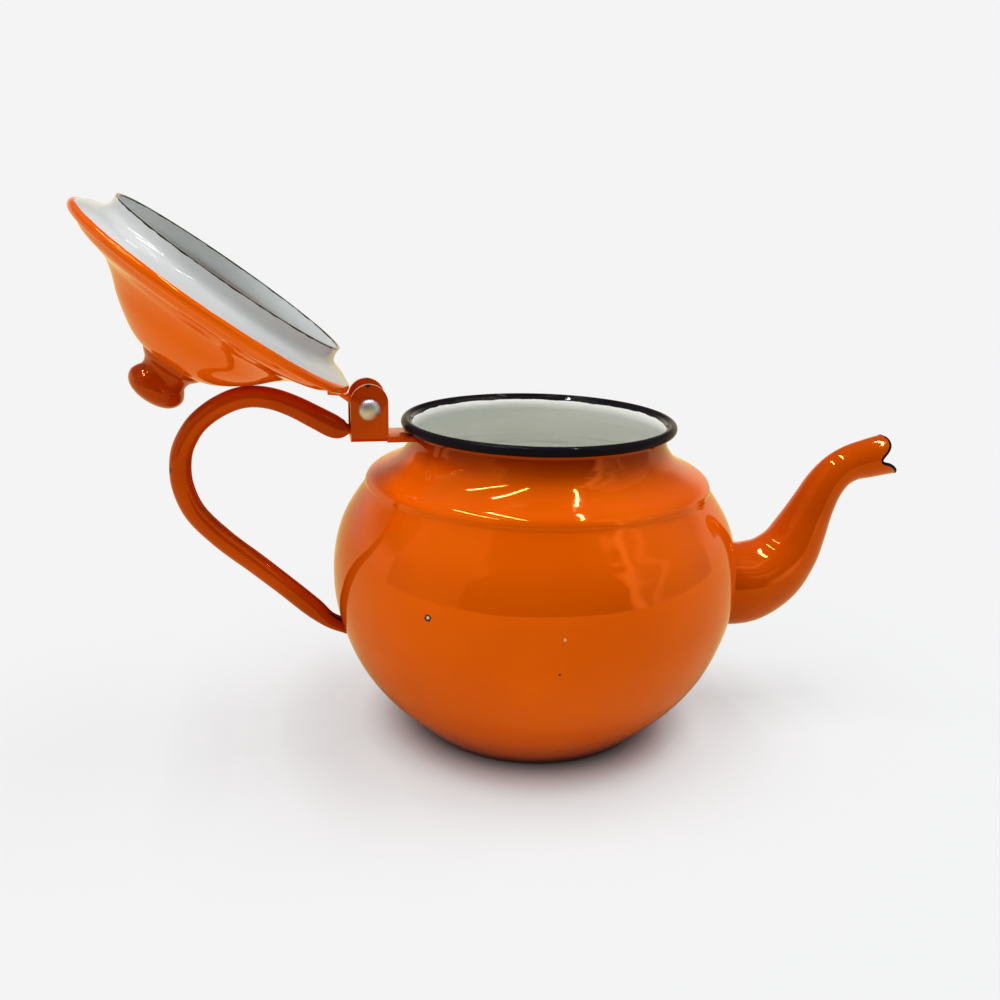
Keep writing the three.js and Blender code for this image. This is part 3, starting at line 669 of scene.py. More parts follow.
def maths(tree, operation, first, second, x=0, y=0):
    """A Math node on two values, each a number or a socket."""
    node = add(tree, "Math", x, y, operation=operation)
    for place, value in enumerate((first, second)):
        if isinstance(value, (int, float)):
            node.inputs[place].default_value = value
        elif value is not None:
            tree.links.new(value, node.inputs[place])
    return node.outputs[0]


def noise(tree, vector, scale, detail, x=0, y=0):
    """A Noise texture on a vector, with a number or a socket as its scale."""
    node = add(tree, "TexNoise", x, y)
    node.inputs["Detail"].default_value = detail
    if isinstance(scale, (int, float)):
        node.inputs["Scale"].default_value = scale
    else:
        tree.links.new(scale, node.inputs["Scale"])
    tree.links.new(vector, node.inputs["Vector"])
    return node.outputs["Fac"]


def ramp(tree, value, low, high, x=0, y=0, smooth=True):
    """A value stretched so that low gives 0 and high gives 1."""
    node = add(tree, "MapRange", x, y, interpolation_type="SMOOTHSTEP" if smooth else "LINEAR")
    for label, given in (("From Min", low), ("From Max", high)):
        if isinstance(given, (int, float)):
            node.inputs[label].default_value = given
        else:
            tree.links.new(given, node.inputs[label])
    tree.links.new(value, node.inputs["Value"])
    return node.outputs["Result"]


# %% The waves of fired enamel
fired, given, made = new_group(
    "fired_enamel_waves",
    [("Vector", "Vector", None), ("Wave Scale", "Float", 55.0), ("Grain Scale", "Float", 420.0)],
    [("Height", "Float")])
slow = noise(fired, given.outputs["Vector"], given.outputs["Wave Scale"], 1.0, -600, 100)
grain = noise(fired, given.outputs["Vector"], given.outputs["Grain Scale"], 2.0, -600, -150)
height = maths(fired, "ADD", slow, maths(fired, "MULTIPLY", grain, 0.012, -350, -150), -150, 0)
fired.links.new(height, made.inputs["Height"])
print("made group", fired.name)

# %% A colour that drifts
drift, given, made = new_group(
    "drifting_colour",
    [("Vector", "Vector", None), ("Scale", "Float", 25.0), ("Thin", "Color", (1, 1, 1, 1)),
     ("Thick", "Color", (0, 0, 0, 1))],
    [("Color", "Color")])
spread = noise(drift, given.outputs["Vector"], given.outputs["Scale"], 3.0, -600, 0)
blend = add(drift, "Mix", 0, 0, data_type="RGBA")
drift.links.new(ramp(drift, spread, 0.3, 0.7, -300, 0), blend.inputs[0])
drift.links.new(given.outputs["Thin"], blend.inputs[6])
drift.links.new(given.outputs["Thick"], blend.inputs[7])
drift.links.new(blend.outputs[2], made.inputs["Color"])
print("made group", drift.name)

# %% A band along a circle
band, given, made = new_group(
    "band_on_circle",
    [("Vector", "Vector", None), ("Radius", "Float", 0.04), ("Height", "Float", 0.1),
     ("Reach", "Float", 0.002), ("Softness", "Float", 0.00012), ("Waver", "Float", 0.0005),
     ("Waver Scale", "Float", 120.0)],
    [("Mask", "Float")])
parts = add(band, "SeparateXYZ", -700, 100)
band.links.new(given.outputs["Vector"], parts.inputs[0])
flat = add(band, "CombineXYZ", -550, 200)
band.links.new(parts.outputs["X"], flat.inputs["X"])
band.links.new(parts.outputs["Y"], flat.inputs["Y"])
length = add(band, "VectorMath", -400, 200, operation="LENGTH")
band.links.new(flat.outputs[0], length.inputs[0])
out = maths(band, "SUBTRACT", length.outputs["Value"], given.outputs["Radius"], -250, 200)
up = maths(band, "SUBTRACT", parts.outputs["Z"], given.outputs["Height"], -250, 0)
off = maths(band, "SQRT", maths(band, "ADD", maths(band, "MULTIPLY", out, out, -100, 200),
                                maths(band, "MULTIPLY", up, up, -100, 0), 50, 100), None, 150, 100)
unsteady = noise(band, given.outputs["Vector"], given.outputs["Waver Scale"], 3.0, -500, -200)
shift = maths(band, "MULTIPLY", maths(band, "SUBTRACT", unsteady, 0.5, -300, -200),
              given.outputs["Waver"], -150, -200)
edge = maths(band, "ADD", given.outputs["Reach"], maths(band, "MULTIPLY", shift, 2.0, 0, -200), 100, -200)
inner = maths(band, "SUBTRACT", edge, given.outputs["Softness"], 250, -250)
inside_mask = maths(band, "SUBTRACT", 1.0, ramp(band, off, inner, edge, 300, 0), 400, 0)
band.links.new(inside_mask, made.inputs["Mask"])
print("made group", band.name)

# %% A chip in the enamel
chip, given, made = new_group(
    "enamel_chip",
    [("Vector", "Vector", None), ("Place", "Vector", None), ("Size", "Float", 0.001)],
    [("Mask", "Float")])
ragged = noise(chip, given.outputs["Vector"], 900.0, 2.0, -700, -200)
gap = add(chip, "VectorMath", -600, 100, operation="DISTANCE")
chip.links.new(given.outputs["Vector"], gap.inputs[0])
chip.links.new(given.outputs["Place"], gap.inputs[1])
share = maths(chip, "DIVIDE", gap.outputs["Value"], given.outputs["Size"], -400, 100)
rough_share = maths(chip, "ADD", share, maths(chip, "MULTIPLY", maths(
    chip, "SUBTRACT", ragged, 0.5, -500, -200), 1.1, -350, -200), -200, 0)
chip.links.new(maths(chip, "SUBTRACT", 1.0, ramp(chip, rough_share, 0.75, 0.95, 0, 100), 200, 100),
               made.inputs["Mask"])
print("made group", chip.name)

# %% [markdown]
# ## Finishes
# Enamel is glass: hardly any roughness, a sheen at the silhouettes, and reflections
# that bend with its slow waves. A clear coat over a matt paint could show that too,
# but one smooth shader is plainer. All enamels here share that base. The orange one
# tints what it mirrors where it is seen straight on, as the photograph shows. Bands
# and chips are painted over with masks, each with its own colour. A pattern on the
# open lid is turned back first, so it can be placed as on the closed one. Thin and
# thick are the two colours that an enamel drifts between.

# %% The colours of the enamels
ORANGE_THIN, ORANGE_THICK = (0.86, 0.120, 0.0, 1), (0.79, 0.104, 0.0, 1)
DEEP_THIN, DEEP_THICK = (0.64, 0.078, 0.0, 1), (0.50, 0.057, 0.0, 1)
DARK_THIN, DARK_THICK = (0.62, 0.066, 0.0, 1), (0.44, 0.038, 0.0, 1)
WARM_THIN, WARM_THICK = (0.95, 0.135, 0.0, 1), (0.88, 0.118, 0.0, 1)
# The lid's collar white is darker than the pot's white: painted shade on the collar and brim.
SHADED_LID_WHITE_THIN, SHADED_LID_WHITE_THICK = (0.55, 0.568, 0.562, 1), (0.64, 0.658, 0.655, 1)
DOME_WHITE_THIN, DOME_WHITE_THICK = (0.72, 0.742, 0.728, 1), (0.80, 0.822, 0.81, 1)
WHITE_THIN, WHITE_THICK = (0.93, 0.945, 0.875, 1), (0.95, 0.965, 0.915, 1)
BLACK = (0.006, 0.005, 0.007, 1)
BARE_GROUND = (0.035, 0.022, 0.018, 1)
PALE_GROUND_AND_GLINT = (0.62, 0.56, 0.50, 1)
PAINTED_BASE_SHADE = (0.09, 0.005, 0.0, 1)
SHADED_NECK = (0.40, 0.034, 0.0, 1)

print("the pot's orange goes from", ORANGE_THIN[:3], "to", ORANGE_THICK[:3])

# %% Place a group in a material, and build an enamel


def use_group(tree, group, x, y, vector=None, **values):
    """Places a group, with values for its sockets by name."""
    node = add(tree, "Group", x, y, node_tree=group)
    node.label = group.name
    for label, value in values.items():
        node.inputs[label.replace("_", " ")].default_value = value
    if vector is not None:
        tree.links.new(vector, node.inputs["Vector"])
    return node


def enamel(name, thin, thick, tint=(1, 1, 1, 1), ior=1.5, metal=0.0, roughness=0.05, waves=0.00013,
           turned_back=False):
    """A glassy enamel. Returns the material, its tree, its shader, its vector and its colour."""
    finish = bpy.data.materials.new(name)
    finish.use_nodes = True
    tree = finish.node_tree
    shader = tree.nodes["Principled BSDF"]
    shader.inputs["Roughness"].default_value = roughness
    shader.inputs["IOR"].default_value = ior
    shader.inputs["Metallic"].default_value = metal
    shader.inputs["Specular Tint"].default_value = tint
    place = add(tree, "TexCoord", -1500, 0)
    vector = place.outputs["Object"]
    if turned_back:
        closed = add(tree, "Mapping", -1300, 0)
        back = Matrix.Rotation(OPEN_ANGLE, 3, "Y")
        closed.inputs["Rotation"].default_value = back.to_euler()
        closed.inputs["Location"].default_value = (PIN - back @ PIN) * MM
        tree.links.new(vector, closed.inputs["Vector"])
        vector = closed.outputs["Vector"]
    colour = use_group(tree, drift, -1000, 300, vector, Thin=thin, Thick=thick).outputs["Color"]
    fired_waves = use_group(tree, fired, -1000, -300, vector)
    bump = add(tree, "Bump", -400, -300)
    bump.inputs["Distance"].default_value = waves
    bump.inputs["Strength"].default_value = 1.0
    tree.links.new(fired_waves.outputs["Height"], bump.inputs["Height"])
    tree.links.new(bump.outputs["Normal"], shader.inputs["Normal"])
    tree.links.new(colour, shader.inputs["Base Color"])
    return finish, tree, shader, vector, colour


# %% Paint over an enamel with a mask, and add chips


def paint(tree, shader, colour, mask, over, x):
    """Lays another colour over the one so far, where the mask says."""
    mix = add(tree, "Mix", x, 250, data_type="RGBA")
    tree.links.new(mask, mix.inputs[0])
    tree.links.new(colour, mix.inputs[6])
    mix.inputs[7].default_value = over
    tree.links.new(mix.outputs[2], shader.inputs["Base Color"])
    return mix.outputs[2]


def add_chips(tree, shader, vector, colour, chips):
    """Paints chips, each with a place and a size in millimetres and the colour of its ground."""
    for i, (place, size, ground) in enumerate(chips):
        spot = use_group(tree, chip, -800, -600 - 250 * i, vector, Place=Vector(place) * MM, Size=size * MM)
        colour = paint(tree, shader, colour, spot.outputs["Mask"], ground, -300 + 150 * i)
    return colour


# %% The pot's orange enamel, with its black rim, painted shade at the base edge and under the rim, and its chips
ORANGE_GLASS = {"tint": (1.0, 0.55, 0.15, 1), "ior": 1.5, "metal": 0.15}
# The pale spots are partly the paler ground in a chip and partly a painted glint of a lamp.
POT_CHIPS = [((-43.5, -51.6, 58.9), 1.25, BARE_GROUND), ((-43.5, -51.6, 58.9), 0.6, PALE_GROUND_AND_GLINT),
             ((-7.0, -67.3, 56.5), 0.5, PALE_GROUND_AND_GLINT), ((-7.9, -66.6, 45.5), 0.45, BARE_GROUND)]

pot_orange, tree, shader, vector, colour = enamel("orange_enamel_pot", ORANGE_THIN, ORANGE_THICK,
                                                  **ORANGE_GLASS)
# Painted shade: the base edge, which turns under into the table's shadow, is darkened.
base_edge_shade = use_group(tree, band, -800, 600, vector, Radius=0.0382, Height=0.0, Reach=0.0090,
                      Softness=0.0078, Waver=0.0016, Waver_Scale=70.0)
colour = paint(tree, shader, colour, base_edge_shade.outputs["Mask"], PAINTED_BASE_SHADE, -700)
# Painted shade: the neck under the rolled rim is darkened, where the rim shades it.
neck_under_rim_shade = use_group(tree, band, -800, 750, vector, Radius=0.0425, Height=0.1030, Reach=0.0100,
                      Softness=0.0085, Waver=0.0020, Waver_Scale=60.0)
colour = paint(tree, shader, colour, neck_under_rim_shade.outputs["Mask"], SHADED_NECK, -600)
rim_band = use_group(tree, band, -800, 900, vector, Radius=RIM_RADIUS * MM, Height=RIM_HEIGHT * MM,
                     Reach=0.0020, Waver=0.0005, Waver_Scale=140.0)
colour = paint(tree, shader, colour, rim_band.outputs["Mask"], BLACK, -500)
add_chips(tree, shader, vector, colour, POT_CHIPS)
print("made", pot_orange.name, "with", len(POT_CHIPS), "chips")

# %% The pot's white inside
pot_white, tree, shader, vector, colour = enamel("white_enamel_pot", WHITE_THIN, WHITE_THICK)
rim_inside = use_group(tree, band, -800, 900, vector, Radius=RIM_RADIUS * MM, Height=RIM_HEIGHT * MM,
                       Reach=0.0023, Waver=0.0005, Waver_Scale=110.0)
paint(tree, shader, colour, rim_inside.outputs["Mask"], BLACK, -500)
print("made", pot_white.name)

# %% A deeper orange for the spout, and a darker one for the handle and the bracket
FITTING_CHIPS = [((-56.5, -6.8, 118.7), 1.0, BARE_GROUND), ((-55.5, 6.0, 118.7), 1.0, BARE_GROUND),
                 ((-117.6, -1.5, 92), 1.4, BARE_GROUND)]

spout_orange, *_ = enamel("orange_enamel_spout", DEEP_THIN, DEEP_THICK, waves=0.00007, **ORANGE_GLASS)
fitting_orange, tree, shader, vector, colour = enamel(
    "orange_enamel_handle", DARK_THIN, DARK_THICK, waves=0.00007, **ORANGE_GLASS)
add_chips(tree, shader, vector, colour, FITTING_CHIPS)
print("made", spout_orange.name, "and", fitting_orange.name)

# %% Black enamel for the rim and the pouring edge
black_enamel, *_ = enamel("black_enamel_edge", BLACK, (0.012, 0.010, 0.012, 1), ior=1.10, roughness=0.08)
print("made", black_enamel.name)

# %% The lid's orange, and the knob's darker one, partly painted shade under the open lid
lid_orange, tree, shader, vector, colour = enamel("orange_enamel_lid", WARM_THIN, WARM_THICK,
                                                  turned_back=True, **ORANGE_GLASS)
under_roll = use_group(tree, band, -800, 600, vector, Radius=0.0452, Height=0.1066, Reach=0.0020,
                       Softness=0.0004, Waver=0.0005, Waver_Scale=200.0)
paint(tree, shader, colour, under_roll.outputs["Mask"], SHADED_LID_WHITE_THICK, -600)
# The knob hangs under the open lid, so its darker orange is partly painted shade.
knob_orange_shaded, *_ = enamel("orange_enamel_knob", DARK_THIN, DARK_THICK, waves=0.00007, turned_back=True,
                         **ORANGE_GLASS)
print("made", lid_orange.name, "and", knob_orange_shaded.name)

# %% The white inside of the dome, and the collar's white, darkened as painted shade, with its black edge
dome_white, *_ = enamel("white_enamel_dome", DOME_WHITE_THIN, DOME_WHITE_THICK, ior=1.35, turned_back=True)
lid_white, tree, shader, vector, colour = enamel("white_enamel_lid", SHADED_LID_WHITE_THIN, SHADED_LID_WHITE_THICK,
                                                 ior=1.35, turned_back=True)
collar_edge = use_group(tree, band, -800, 600, vector, Radius=0.03765, Height=COLLAR_LOW * MM,
                        Reach=0.00066, Waver=0.00026, Waver_Scale=260.0)
paint(tree, shader, colour, collar_edge.outputs["Mask"], BLACK, -600)
print("made", dome_white.name, "and", lid_white.name)

# %% [markdown]
# The rivet is the one bare metal piece. Soft aluminium dulls quickly: a brushed,
# blurred grey with fine scratches. One even roughness would look too new, so a
# noise that is stretched along one axis changes it over the head.

# %% Aluminium
aluminium = bpy.data.materials.new("aluminium_rivet")
aluminium.use_nodes = True
tree = aluminium.node_tree
shader = tree.nodes["Principled BSDF"]
shader.inputs["Metallic"].default_value = 1.0
place = add(tree, "TexCoord", -1200, 0).outputs["Object"]
stretched = add(tree, "Mapping", -1000, 0)
stretched.inputs["Scale"].default_value = (1, 1, 9)
tree.links.new(place, stretched.inputs["Vector"])
tone = use_group(tree, drift, -700, 300, place, Scale=220.0, Thin=(0.78, 0.80, 0.88, 1),
                 Thick=(0.58, 0.60, 0.68, 1))
tree.links.new(tone.outputs["Color"], shader.inputs["Base Color"])
scratches = noise(tree, stretched.outputs["Vector"], 700.0, 4.0, -700, -100)
tree.links.new(ramp(tree, scratches, -0.9, 2.1, -450, -100, smooth=False), shader.inputs["Roughness"])
bump = add(tree, "Bump", -300, -350)
bump.inputs["Distance"].default_value = 0.00002
tree.links.new(scratches, bump.inputs["Height"])
tree.links.new(bump.outputs["Normal"], shader.inputs["Normal"])
print("made", aluminium.name)

# %% [markdown]
# ## Put it together
# Each piece gets its finishes, rides on the pot or on the lid, and stands for the
# solid that it was drawn over. Joining all pieces into one mesh would look the same,
# but then the lid couldn't move. The solids stay for the physics and aren't shown.
# The bead on the pouring edge is trim that no solid stands for.

# %% Finish every piece
PIECES = [
    (pot_body, "pot", "orange_enamel", [pot_orange, pot_white, black_enamel],
     ["body_shell"]),
    (spout_tube, "pot", "orange_enamel", [spout_orange], ["spout_near_half", "spout_far_half"]),
    (pouring_bead, "pot", "orange_enamel", [black_enamel], []),
    (handle_channel, "pot", "orange_enamel", [fitting_orange], ["handle"]),
    (hinge_strap, "pot", "orange_enamel", [fitting_orange], ["hinge_bracket"]),
    (hinge_rivet_piece, "pot", "rivet_aluminium", [aluminium], ["hinge_rivet"]),
    (lid_dome_shell, "lid", "orange_enamel", [lid_orange, dome_white], ["lid_dome"]),
    (lid_collar_ring, "lid", "white_enamel", [lid_white], ["lid_collar"]),
    (lid_knob_cap, "lid", "orange_enamel", [knob_orange_shaded], ["lid_knob"]),
    (lid_leaf, "lid", "orange_enamel", [lid_orange], ["lid_hinge_leaf"]),
]
for piece, body, slot, finishes, nodes in PIECES:
    bpy.ops.object.select_all(action="DESELECT")
    bpy.context.view_layer.objects.active = piece
    piece.select_set(True)
    bpy.ops.object.transform_apply(location=True, rotation=True, scale=True)
    if len(finishes) == 1:
        piece.data.materials.clear()
    for finish in finishes:
        piece.data.materials.append(finish)
    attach(piece, body)
    if nodes:
        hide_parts(*nodes)
print("pieces:", ", ".join(piece.name for piece, *_ in PIECES))

# %% [markdown]
# ## Table, room and lamps
# The photograph is taken on a white table under long tube lamps. The table is a wide
# disc that shows the pot's shadow and becomes the white backdrop further off. What
# the enamel mirrors matters as much as the light: the table up to its edge, above it
# a darker room, and overhead the tubes, as thin bright streaks. The photograph's
# strong colours leave no blue in what is mirrored, so reflections see the white
# things a little warmer than the camera does.

# %% The table
BACKDROP = (0.905, 0.905, 0.905, 1)
MIRRORED_WHITE = (0.86, 0.745, 0.55, 1)
MIRRORED_TABLE = (0.88, 0.72, 0.33, 1)
TABLE_RADIUS = 12

bpy.ops.object.select_all(action="DESELECT")
bpy.ops.mesh.primitive_circle_add(vertices=96, radius=TABLE_RADIUS, fill_type="NGON")
table = bpy.context.object
table.name = "table"
table_finish = bpy.data.materials.new("white_table")
table_finish.use_nodes = True
table.data.materials.append(table_finish)
table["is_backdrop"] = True
print("the table is", 2 * TABLE_RADIUS, "m wide")

# %% [markdown]
# The table's finish goes by the distance from the middle of the pot: close by it is
# a plain white surface, further off it glows as the backdrop does. `lit` is how far
# it has changed for light and reflections. `shown` is the same for the camera, and
# it rises sooner and in two steps, because with one sudden rise a ring would show
# in the shadow. That sooner glow is painted light: the camera sees the pot's shadow
# paler than the lamps make it. Close round the base the table's colour is darkened,
# a painted shadow. A round picture could do this too, but a ramp is smooth at any size.

# %% How the table fades into the backdrop
LIT_FROM, NEAR_FROM, NEAR_TO, FAR_FROM, FADE_END = 0.058, 0.036, 0.062, 0.05, 0.24
LIT_POWER, FAR_POWER = 0.55, 0.7

tree = table_finish.node_tree
place = add(tree, "TexCoord", -900, -100).outputs["Object"]
away = add(tree, "VectorMath", -700, -100, operation="LENGTH")
tree.links.new(place, away.inputs[0])
distance = away.outputs["Value"]
lit = maths(tree, "POWER", ramp(tree, distance, LIT_FROM, FADE_END, -500, -100, smooth=False),
            LIT_POWER, -250, -100)
near_rise = ramp(tree, distance, NEAR_FROM, NEAR_TO, -500, -350)
far_rise = maths(tree, "POWER", ramp(tree, distance, FAR_FROM, FADE_END, -500, -500, smooth=False),
                 FAR_POWER, -350, -500)
shown = maths(tree, "MULTIPLY", maths(tree, "ADD", near_rise, far_rise, -250, -400), 0.5, -150, -400)
seen_by = add(tree, "LightPath", -900, 400)
fade = maths(tree, "ADD", lit, maths(tree, "MULTIPLY", seen_by.outputs["Is Camera Ray"], maths(
    tree, "SUBTRACT", shown, lit, -50, -350), 100, -350), 250, -200)
print("the table is all backdrop from", FADE_END, "m on")

# %% The table's colours, plain for the camera and warm in reflections, with a painted shadow round the base
PLAIN_TABLE, WARM_TABLE = (0.72, 0.755, 0.765, 1), (0.62, 0.50, 0.25, 1)
PAINTED_SHADOW_COLOUR, PAINTED_SHADOW_FROM, PAINTED_SHADOW_TO = (0.50, 0.42, 0.41, 1), 0.038, 0.054

shader = tree.nodes["Principled BSDF"]
shader.inputs["Roughness"].default_value = 0.6
shader.inputs["Specular IOR Level"].default_value = 0.1
far_glow = add(tree, "Emission", -100, -200)
for socket, plain, warm, y in ((shader.inputs["Base Color"], PLAIN_TABLE, WARM_TABLE, 400),
                               (far_glow.inputs["Color"], BACKDROP, MIRRORED_TABLE, 150)):
    mix = add(tree, "Mix", -600, y, data_type="RGBA")
    tree.links.new(seen_by.outputs["Is Glossy Ray"], mix.inputs[0])
    mix.inputs[6].default_value, mix.inputs[7].default_value = plain, warm
    tree.links.new(mix.outputs[2], socket)
# Painted shadow: close round the base the table's colour is darkened, where the pot's shadow lies.
painted_shadow = add(tree, "Mix", -350, 500, data_type="RGBA")
tree.links.new(ramp(tree, distance, PAINTED_SHADOW_FROM, PAINTED_SHADOW_TO, -600, 650), painted_shadow.inputs[0])
painted_shadow.inputs[6].default_value = PAINTED_SHADOW_COLOUR
tree.links.new(shader.inputs["Base Color"].links[0].from_socket, painted_shadow.inputs[7])
tree.links.new(painted_shadow.outputs[2], shader.inputs["Base Color"])
whiten = add(tree, "MixShader", 200, 0)
tree.links.new(fade, whiten.inputs[0])
tree.links.new(shader.outputs[0], whiten.inputs[1])
tree.links.new(far_glow.outputs[0], whiten.inputs[2])
tree.links.new(whiten.outputs[0], tree.nodes["Material Output"].inputs["Surface"])
print("made", table_finish.name)

# %% [markdown]
# Only reflections see the room: a bent card that stands in front of the pot, where
# the real table ends. A picture of a room would need a file, so its tone follows the
# angle round the pot instead: nearly black in the middle, paler at both sides, with
# two wavy bright strips. The waves come from a noise that is added to the angle.

# %% The card for the room
ROOM_RADIUS, ROOM_HEIGHT, ROOM_FRONT = 0.95, 1.9, 0.1

bpy.ops.object.select_all(action="DESELECT")
bpy.ops.mesh.primitive_cylinder_add(vertices=96, radius=ROOM_RADIUS, depth=ROOM_HEIGHT,
                                    end_fill_type="NOTHING", location=(0, 0, ROOM_HEIGHT / 2))
room = bpy.context.object
room.name = "room"
bpy.ops.object.mode_set(mode="EDIT")
bpy.ops.mesh.select_all(action="SELECT")
bpy.ops.mesh.bisect(plane_co=(0, ROOM_FRONT, 0), plane_no=(0, 1, 0), clear_outer=True)
bpy.ops.object.mode_set(mode="OBJECT")
room.visible_camera = room.visible_diffuse = room.visible_shadow = False
room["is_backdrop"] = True
print("the card has", len(room.data.polygons), "faces")

# %% The angle round the pot, with waves
SWAY, SWAY_SCALE = 0.8, 2.5

room_finish = bpy.data.materials.new("dark_room")
room_finish.use_nodes = True
tree = room_finish.node_tree
tree.nodes.remove(tree.nodes["Principled BSDF"])
glow = add(tree, "Emission", 0, 0)
place = add(tree, "TexCoord", -1500, 0).outputs["Object"]
parts = add(tree, "SeparateXYZ", -1300, 200)
tree.links.new(place, parts.inputs[0])
angle = maths(tree, "ARCTAN2", parts.outputs["X"], maths(tree, "MULTIPLY", parts.outputs["Y"], -1.0,
                                                         -1150, 100), -1000, 200)
sway = maths(tree, "MULTIPLY", maths(tree, "SUBTRACT", noise(tree, place, SWAY_SCALE, 1.0, -1300, -100),
                                     0.5, -1150, -100), SWAY, -1000, -100)
bearing = maths(tree, "ADD", angle, sway, -850, 100)
print("the waves move the angle by up to", round(math.degrees(SWAY / 2)), "degrees")

# %% What the card shows, in patches of (from, to, softness) in degrees
DARK_MIDDLE, STRIP, THIN_STRIP = (-47, 38, 2), (39, 49, 4), (56, 62, 4)


def room_patch(below, tone, low, high, soft, x):
    """A tone between two bearings in degrees, laid over what is below."""
    rise = ramp(tree, bearing, math.radians(low - soft), math.radians(low + soft), x, 300)
    fall = ramp(tree, bearing, math.radians(high - soft), math.radians(high + soft), x, 50)
    mask = maths(tree, "SUBTRACT", rise, fall, x + 150, 200)
    mix = add(tree, "Mix", x + 300, 0, data_type="RGBA")
    tree.links.new(mask, mix.inputs[0])
    if isinstance(below, tuple):
        mix.inputs[6].default_value = below
    else:
        tree.links.new(below, mix.inputs[6])
    mix.inputs[7].default_value = tone
    return mix.outputs[2]


tone = room_patch((0.38, 0.36, 0.32, 1), (0.04, 0.036, 0.03, 1), *DARK_MIDDLE, -700)
tone = room_patch(tone, (1.4, 1.3, 1.0, 1), *STRIP, -300)
tone = room_patch(tone, (1.0, 0.92, 0.72, 1), *THIN_STRIP, 100)
glow.location, tree.nodes["Material Output"].location = (600, 0), (800, 0)
tree.links.new(tone, glow.inputs["Color"])
tree.links.new(glow.outputs[0], tree.nodes["Material Output"].inputs["Surface"])
room.data.materials.append(room_finish)
print("made", room_finish.name)

# %% [markdown]
# Four tubes under the ceiling light the pot, and three of them show in the enamel. A
# sun lamp would give the same light with less noise, but no streaks. A large, weak
# lamp at the handle's side stands for the daylight, and it isn't mirrored.

# %% Lamps
TUBE_PLACES = (-0.87, -0.33, 0.62, 1.3)
TUBE_Y, TUBE_HEIGHT = 0.05, 2.2
TUBE_LENGTH, TUBE_WIDTH, TUBE_POWER = 1.4, 0.036, 13.5
MIRRORED_UP_TO = 1
GLOW_PLACE, GLOW_SIZE, GLOW_POWER = (-0.9, -0.85, 1.35), 1.0, 6
GLOW_TILT = Vector((-0.9, -0.85, 1.3))


def ceiling_lamp(name, x, y, height, length, width, power):
    """A rectangular lamp that shines straight down, long in y."""
    bpy.ops.object.light_add(type="AREA", location=(x, y, height))
    lamp = bpy.context.object
    lamp.name = name
    lamp.data.shape = "RECTANGLE"
    lamp.data.size, lamp.data.size_y = width, length
    lamp.data.energy = power
    lamp.visible_camera = False
    return lamp


for number, x in enumerate(TUBE_PLACES):
    tube = ceiling_lamp(f"tube_{number}", x, TUBE_Y, TUBE_HEIGHT, TUBE_LENGTH, TUBE_WIDTH, TUBE_POWER)
    tube.visible_glossy = x < MIRRORED_UP_TO

window_glow = ceiling_lamp("window_glow", *GLOW_PLACE, GLOW_SIZE, GLOW_SIZE, GLOW_POWER)
window_glow.rotation_euler = GLOW_TILT.to_track_quat("Z", "Y").to_euler()
window_glow.visible_glossy = False
print(len(TUBE_PLACES), "tubes of", TUBE_POWER, "W each, and", window_glow.name, "of", GLOW_POWER, "W")

# %% [markdown]
# The backdrop behind the table is plain white for the camera. Reflections see it
# too, but only low down: higher up the ceiling is dark, so the black enamel stays
# black. All other light is one even, paler glow. A white wall and a grey ceiling
# could be built, but they'd throw their own light on the pot.

# %% The light that comes from all round
world = bpy.data.worlds.new("backdrop")
bpy.context.scene.world = world
world.use_nodes = True
tree = world.node_tree
room_light = tree.nodes["Background"]
room_light.inputs["Color"].default_value = (1.0, 0.995, 0.99, 1)
room_light.inputs["Strength"].default_value = 0.27
print("the even light has a strength of", round(room_light.inputs["Strength"].default_value, 3))

# %% What the camera sees behind the table, and what reflections see
CEILING_FROM, CEILING_TO, CEILING = 0.16, 0.42, (0.14, 0.13, 0.12, 1)

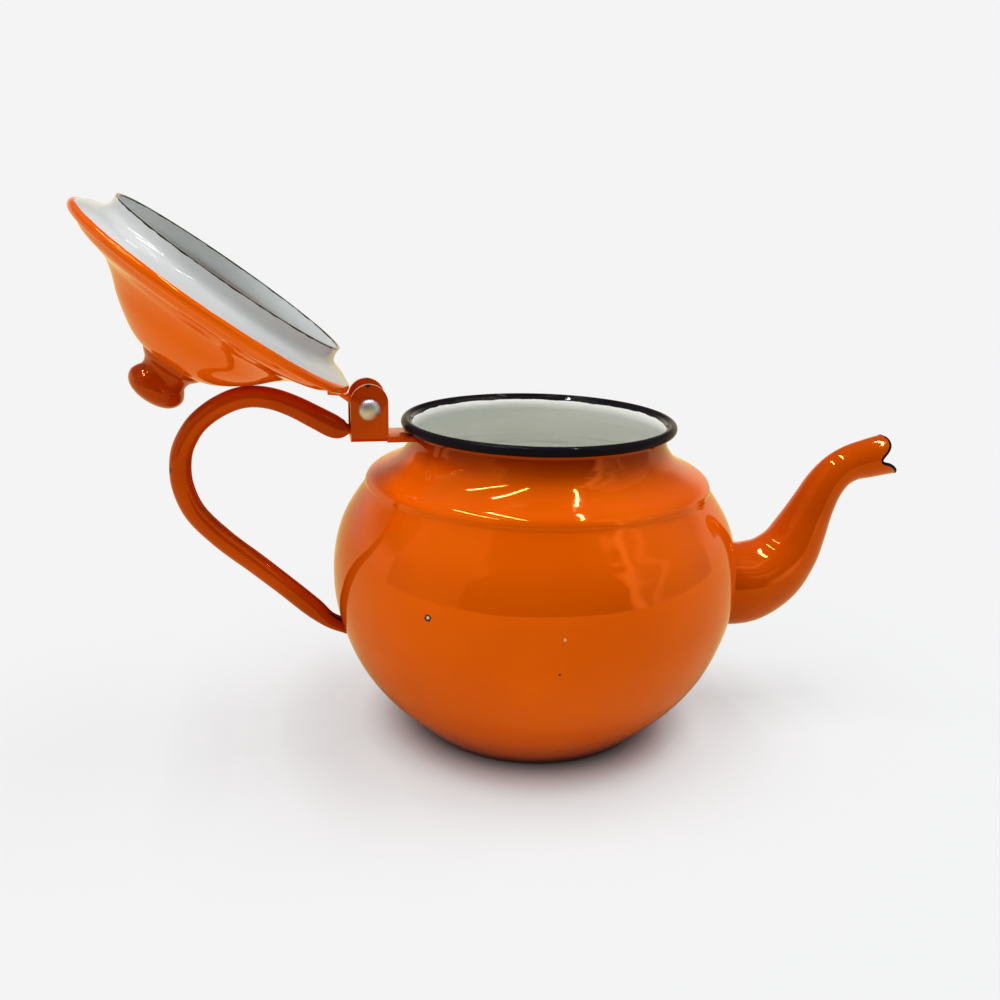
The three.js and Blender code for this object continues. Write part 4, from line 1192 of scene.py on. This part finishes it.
seen = add(tree, "Background", 0, -200)
seen.inputs["Color"].default_value = BACKDROP
mirrored = add(tree, "Background", 0, -400)
heading = add(tree, "TexCoord", -1100, -400).outputs["Generated"]
parts = add(tree, "SeparateXYZ", -900, -400)
tree.links.new(heading, parts.inputs[0])
high = ramp(tree, parts.outputs["Z"], CEILING_FROM, CEILING_TO, -700, -300)
ceiling = add(tree, "Mix", -250, -400, data_type="RGBA")
tree.links.new(high, ceiling.inputs[0])
ceiling.inputs[6].default_value = MIRRORED_WHITE
ceiling.inputs[7].default_value = CEILING
tree.links.new(ceiling.outputs[2], mirrored.inputs["Color"])
path = add(tree, "LightPath", -600, 200)
direct = maths(tree, "MAXIMUM", path.outputs["Is Camera Ray"], path.outputs["Is Transmission Ray"],
               -300, 200)
choose = add(tree, "MixShader", 250, 0)
tree.links.new(direct, choose.inputs[0])
tree.links.new(room_light.outputs[0], choose.inputs[1])
tree.links.new(seen.outputs[0], choose.inputs[2])
reflect = add(tree, "MixShader", 450, 0)
tree.links.new(path.outputs["Is Glossy Ray"], reflect.inputs[0])
tree.links.new(choose.outputs[0], reflect.inputs[1])
tree.links.new(mirrored.outputs[0], reflect.inputs[2])
tree.links.new(reflect.outputs[0], tree.nodes["World Output"].inputs["Surface"])
bpy.context.scene.view_settings.view_transform = "Standard"
print("the camera sees a backdrop of", BACKDROP[0])

# %% [markdown]
# ## Camera
# The camera's place and lens were worked out from the photograph: the rim's and the
# lid's ellipses fix how far away and how high it is. Guessing and trying would end
# near the same place, but each ellipse would be a little off. It is less than 40 cm
# from the pot, a little to the handle's side, and looks down by sixteen degrees.

# %% The photograph's camera
CAMERA_PLACE = Vector((-80.465, -322.729, 172.994))
LENS, SENSOR_WIDTH = 36.908, 36

right = Vector((0.97956713, -0.19978555, 0.02310778))
upward = Vector((0.0334663, 0.27521723, 0.9607994))
forward = Vector((0.19831349, 0.94039418, -0.27627984))
bpy.ops.object.camera_add(location=CAMERA_PLACE * MM)
camera = bpy.context.object
camera.rotation_euler = Matrix((right, upward, -forward)).transposed().to_euler()
camera.data.lens, camera.data.sensor_width = LENS, SENSOR_WIDTH
camera.data.clip_start, camera.data.clip_end = 0.01, 100
bpy.context.scene.camera = camera
print("the camera is", round(camera.location.length, 3), "m from the pot's base, with a lens of",
      round(camera.data.lens, 1), "mm")

# %% [markdown]
# Last, the size of what was drawn is printed. It must agree with the size of the
# solids, or the part would look larger or smaller than it is.

# %% Size and finish
low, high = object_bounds()
print("the pieces fill", [round(v, 4) for v in (*low, *high)])
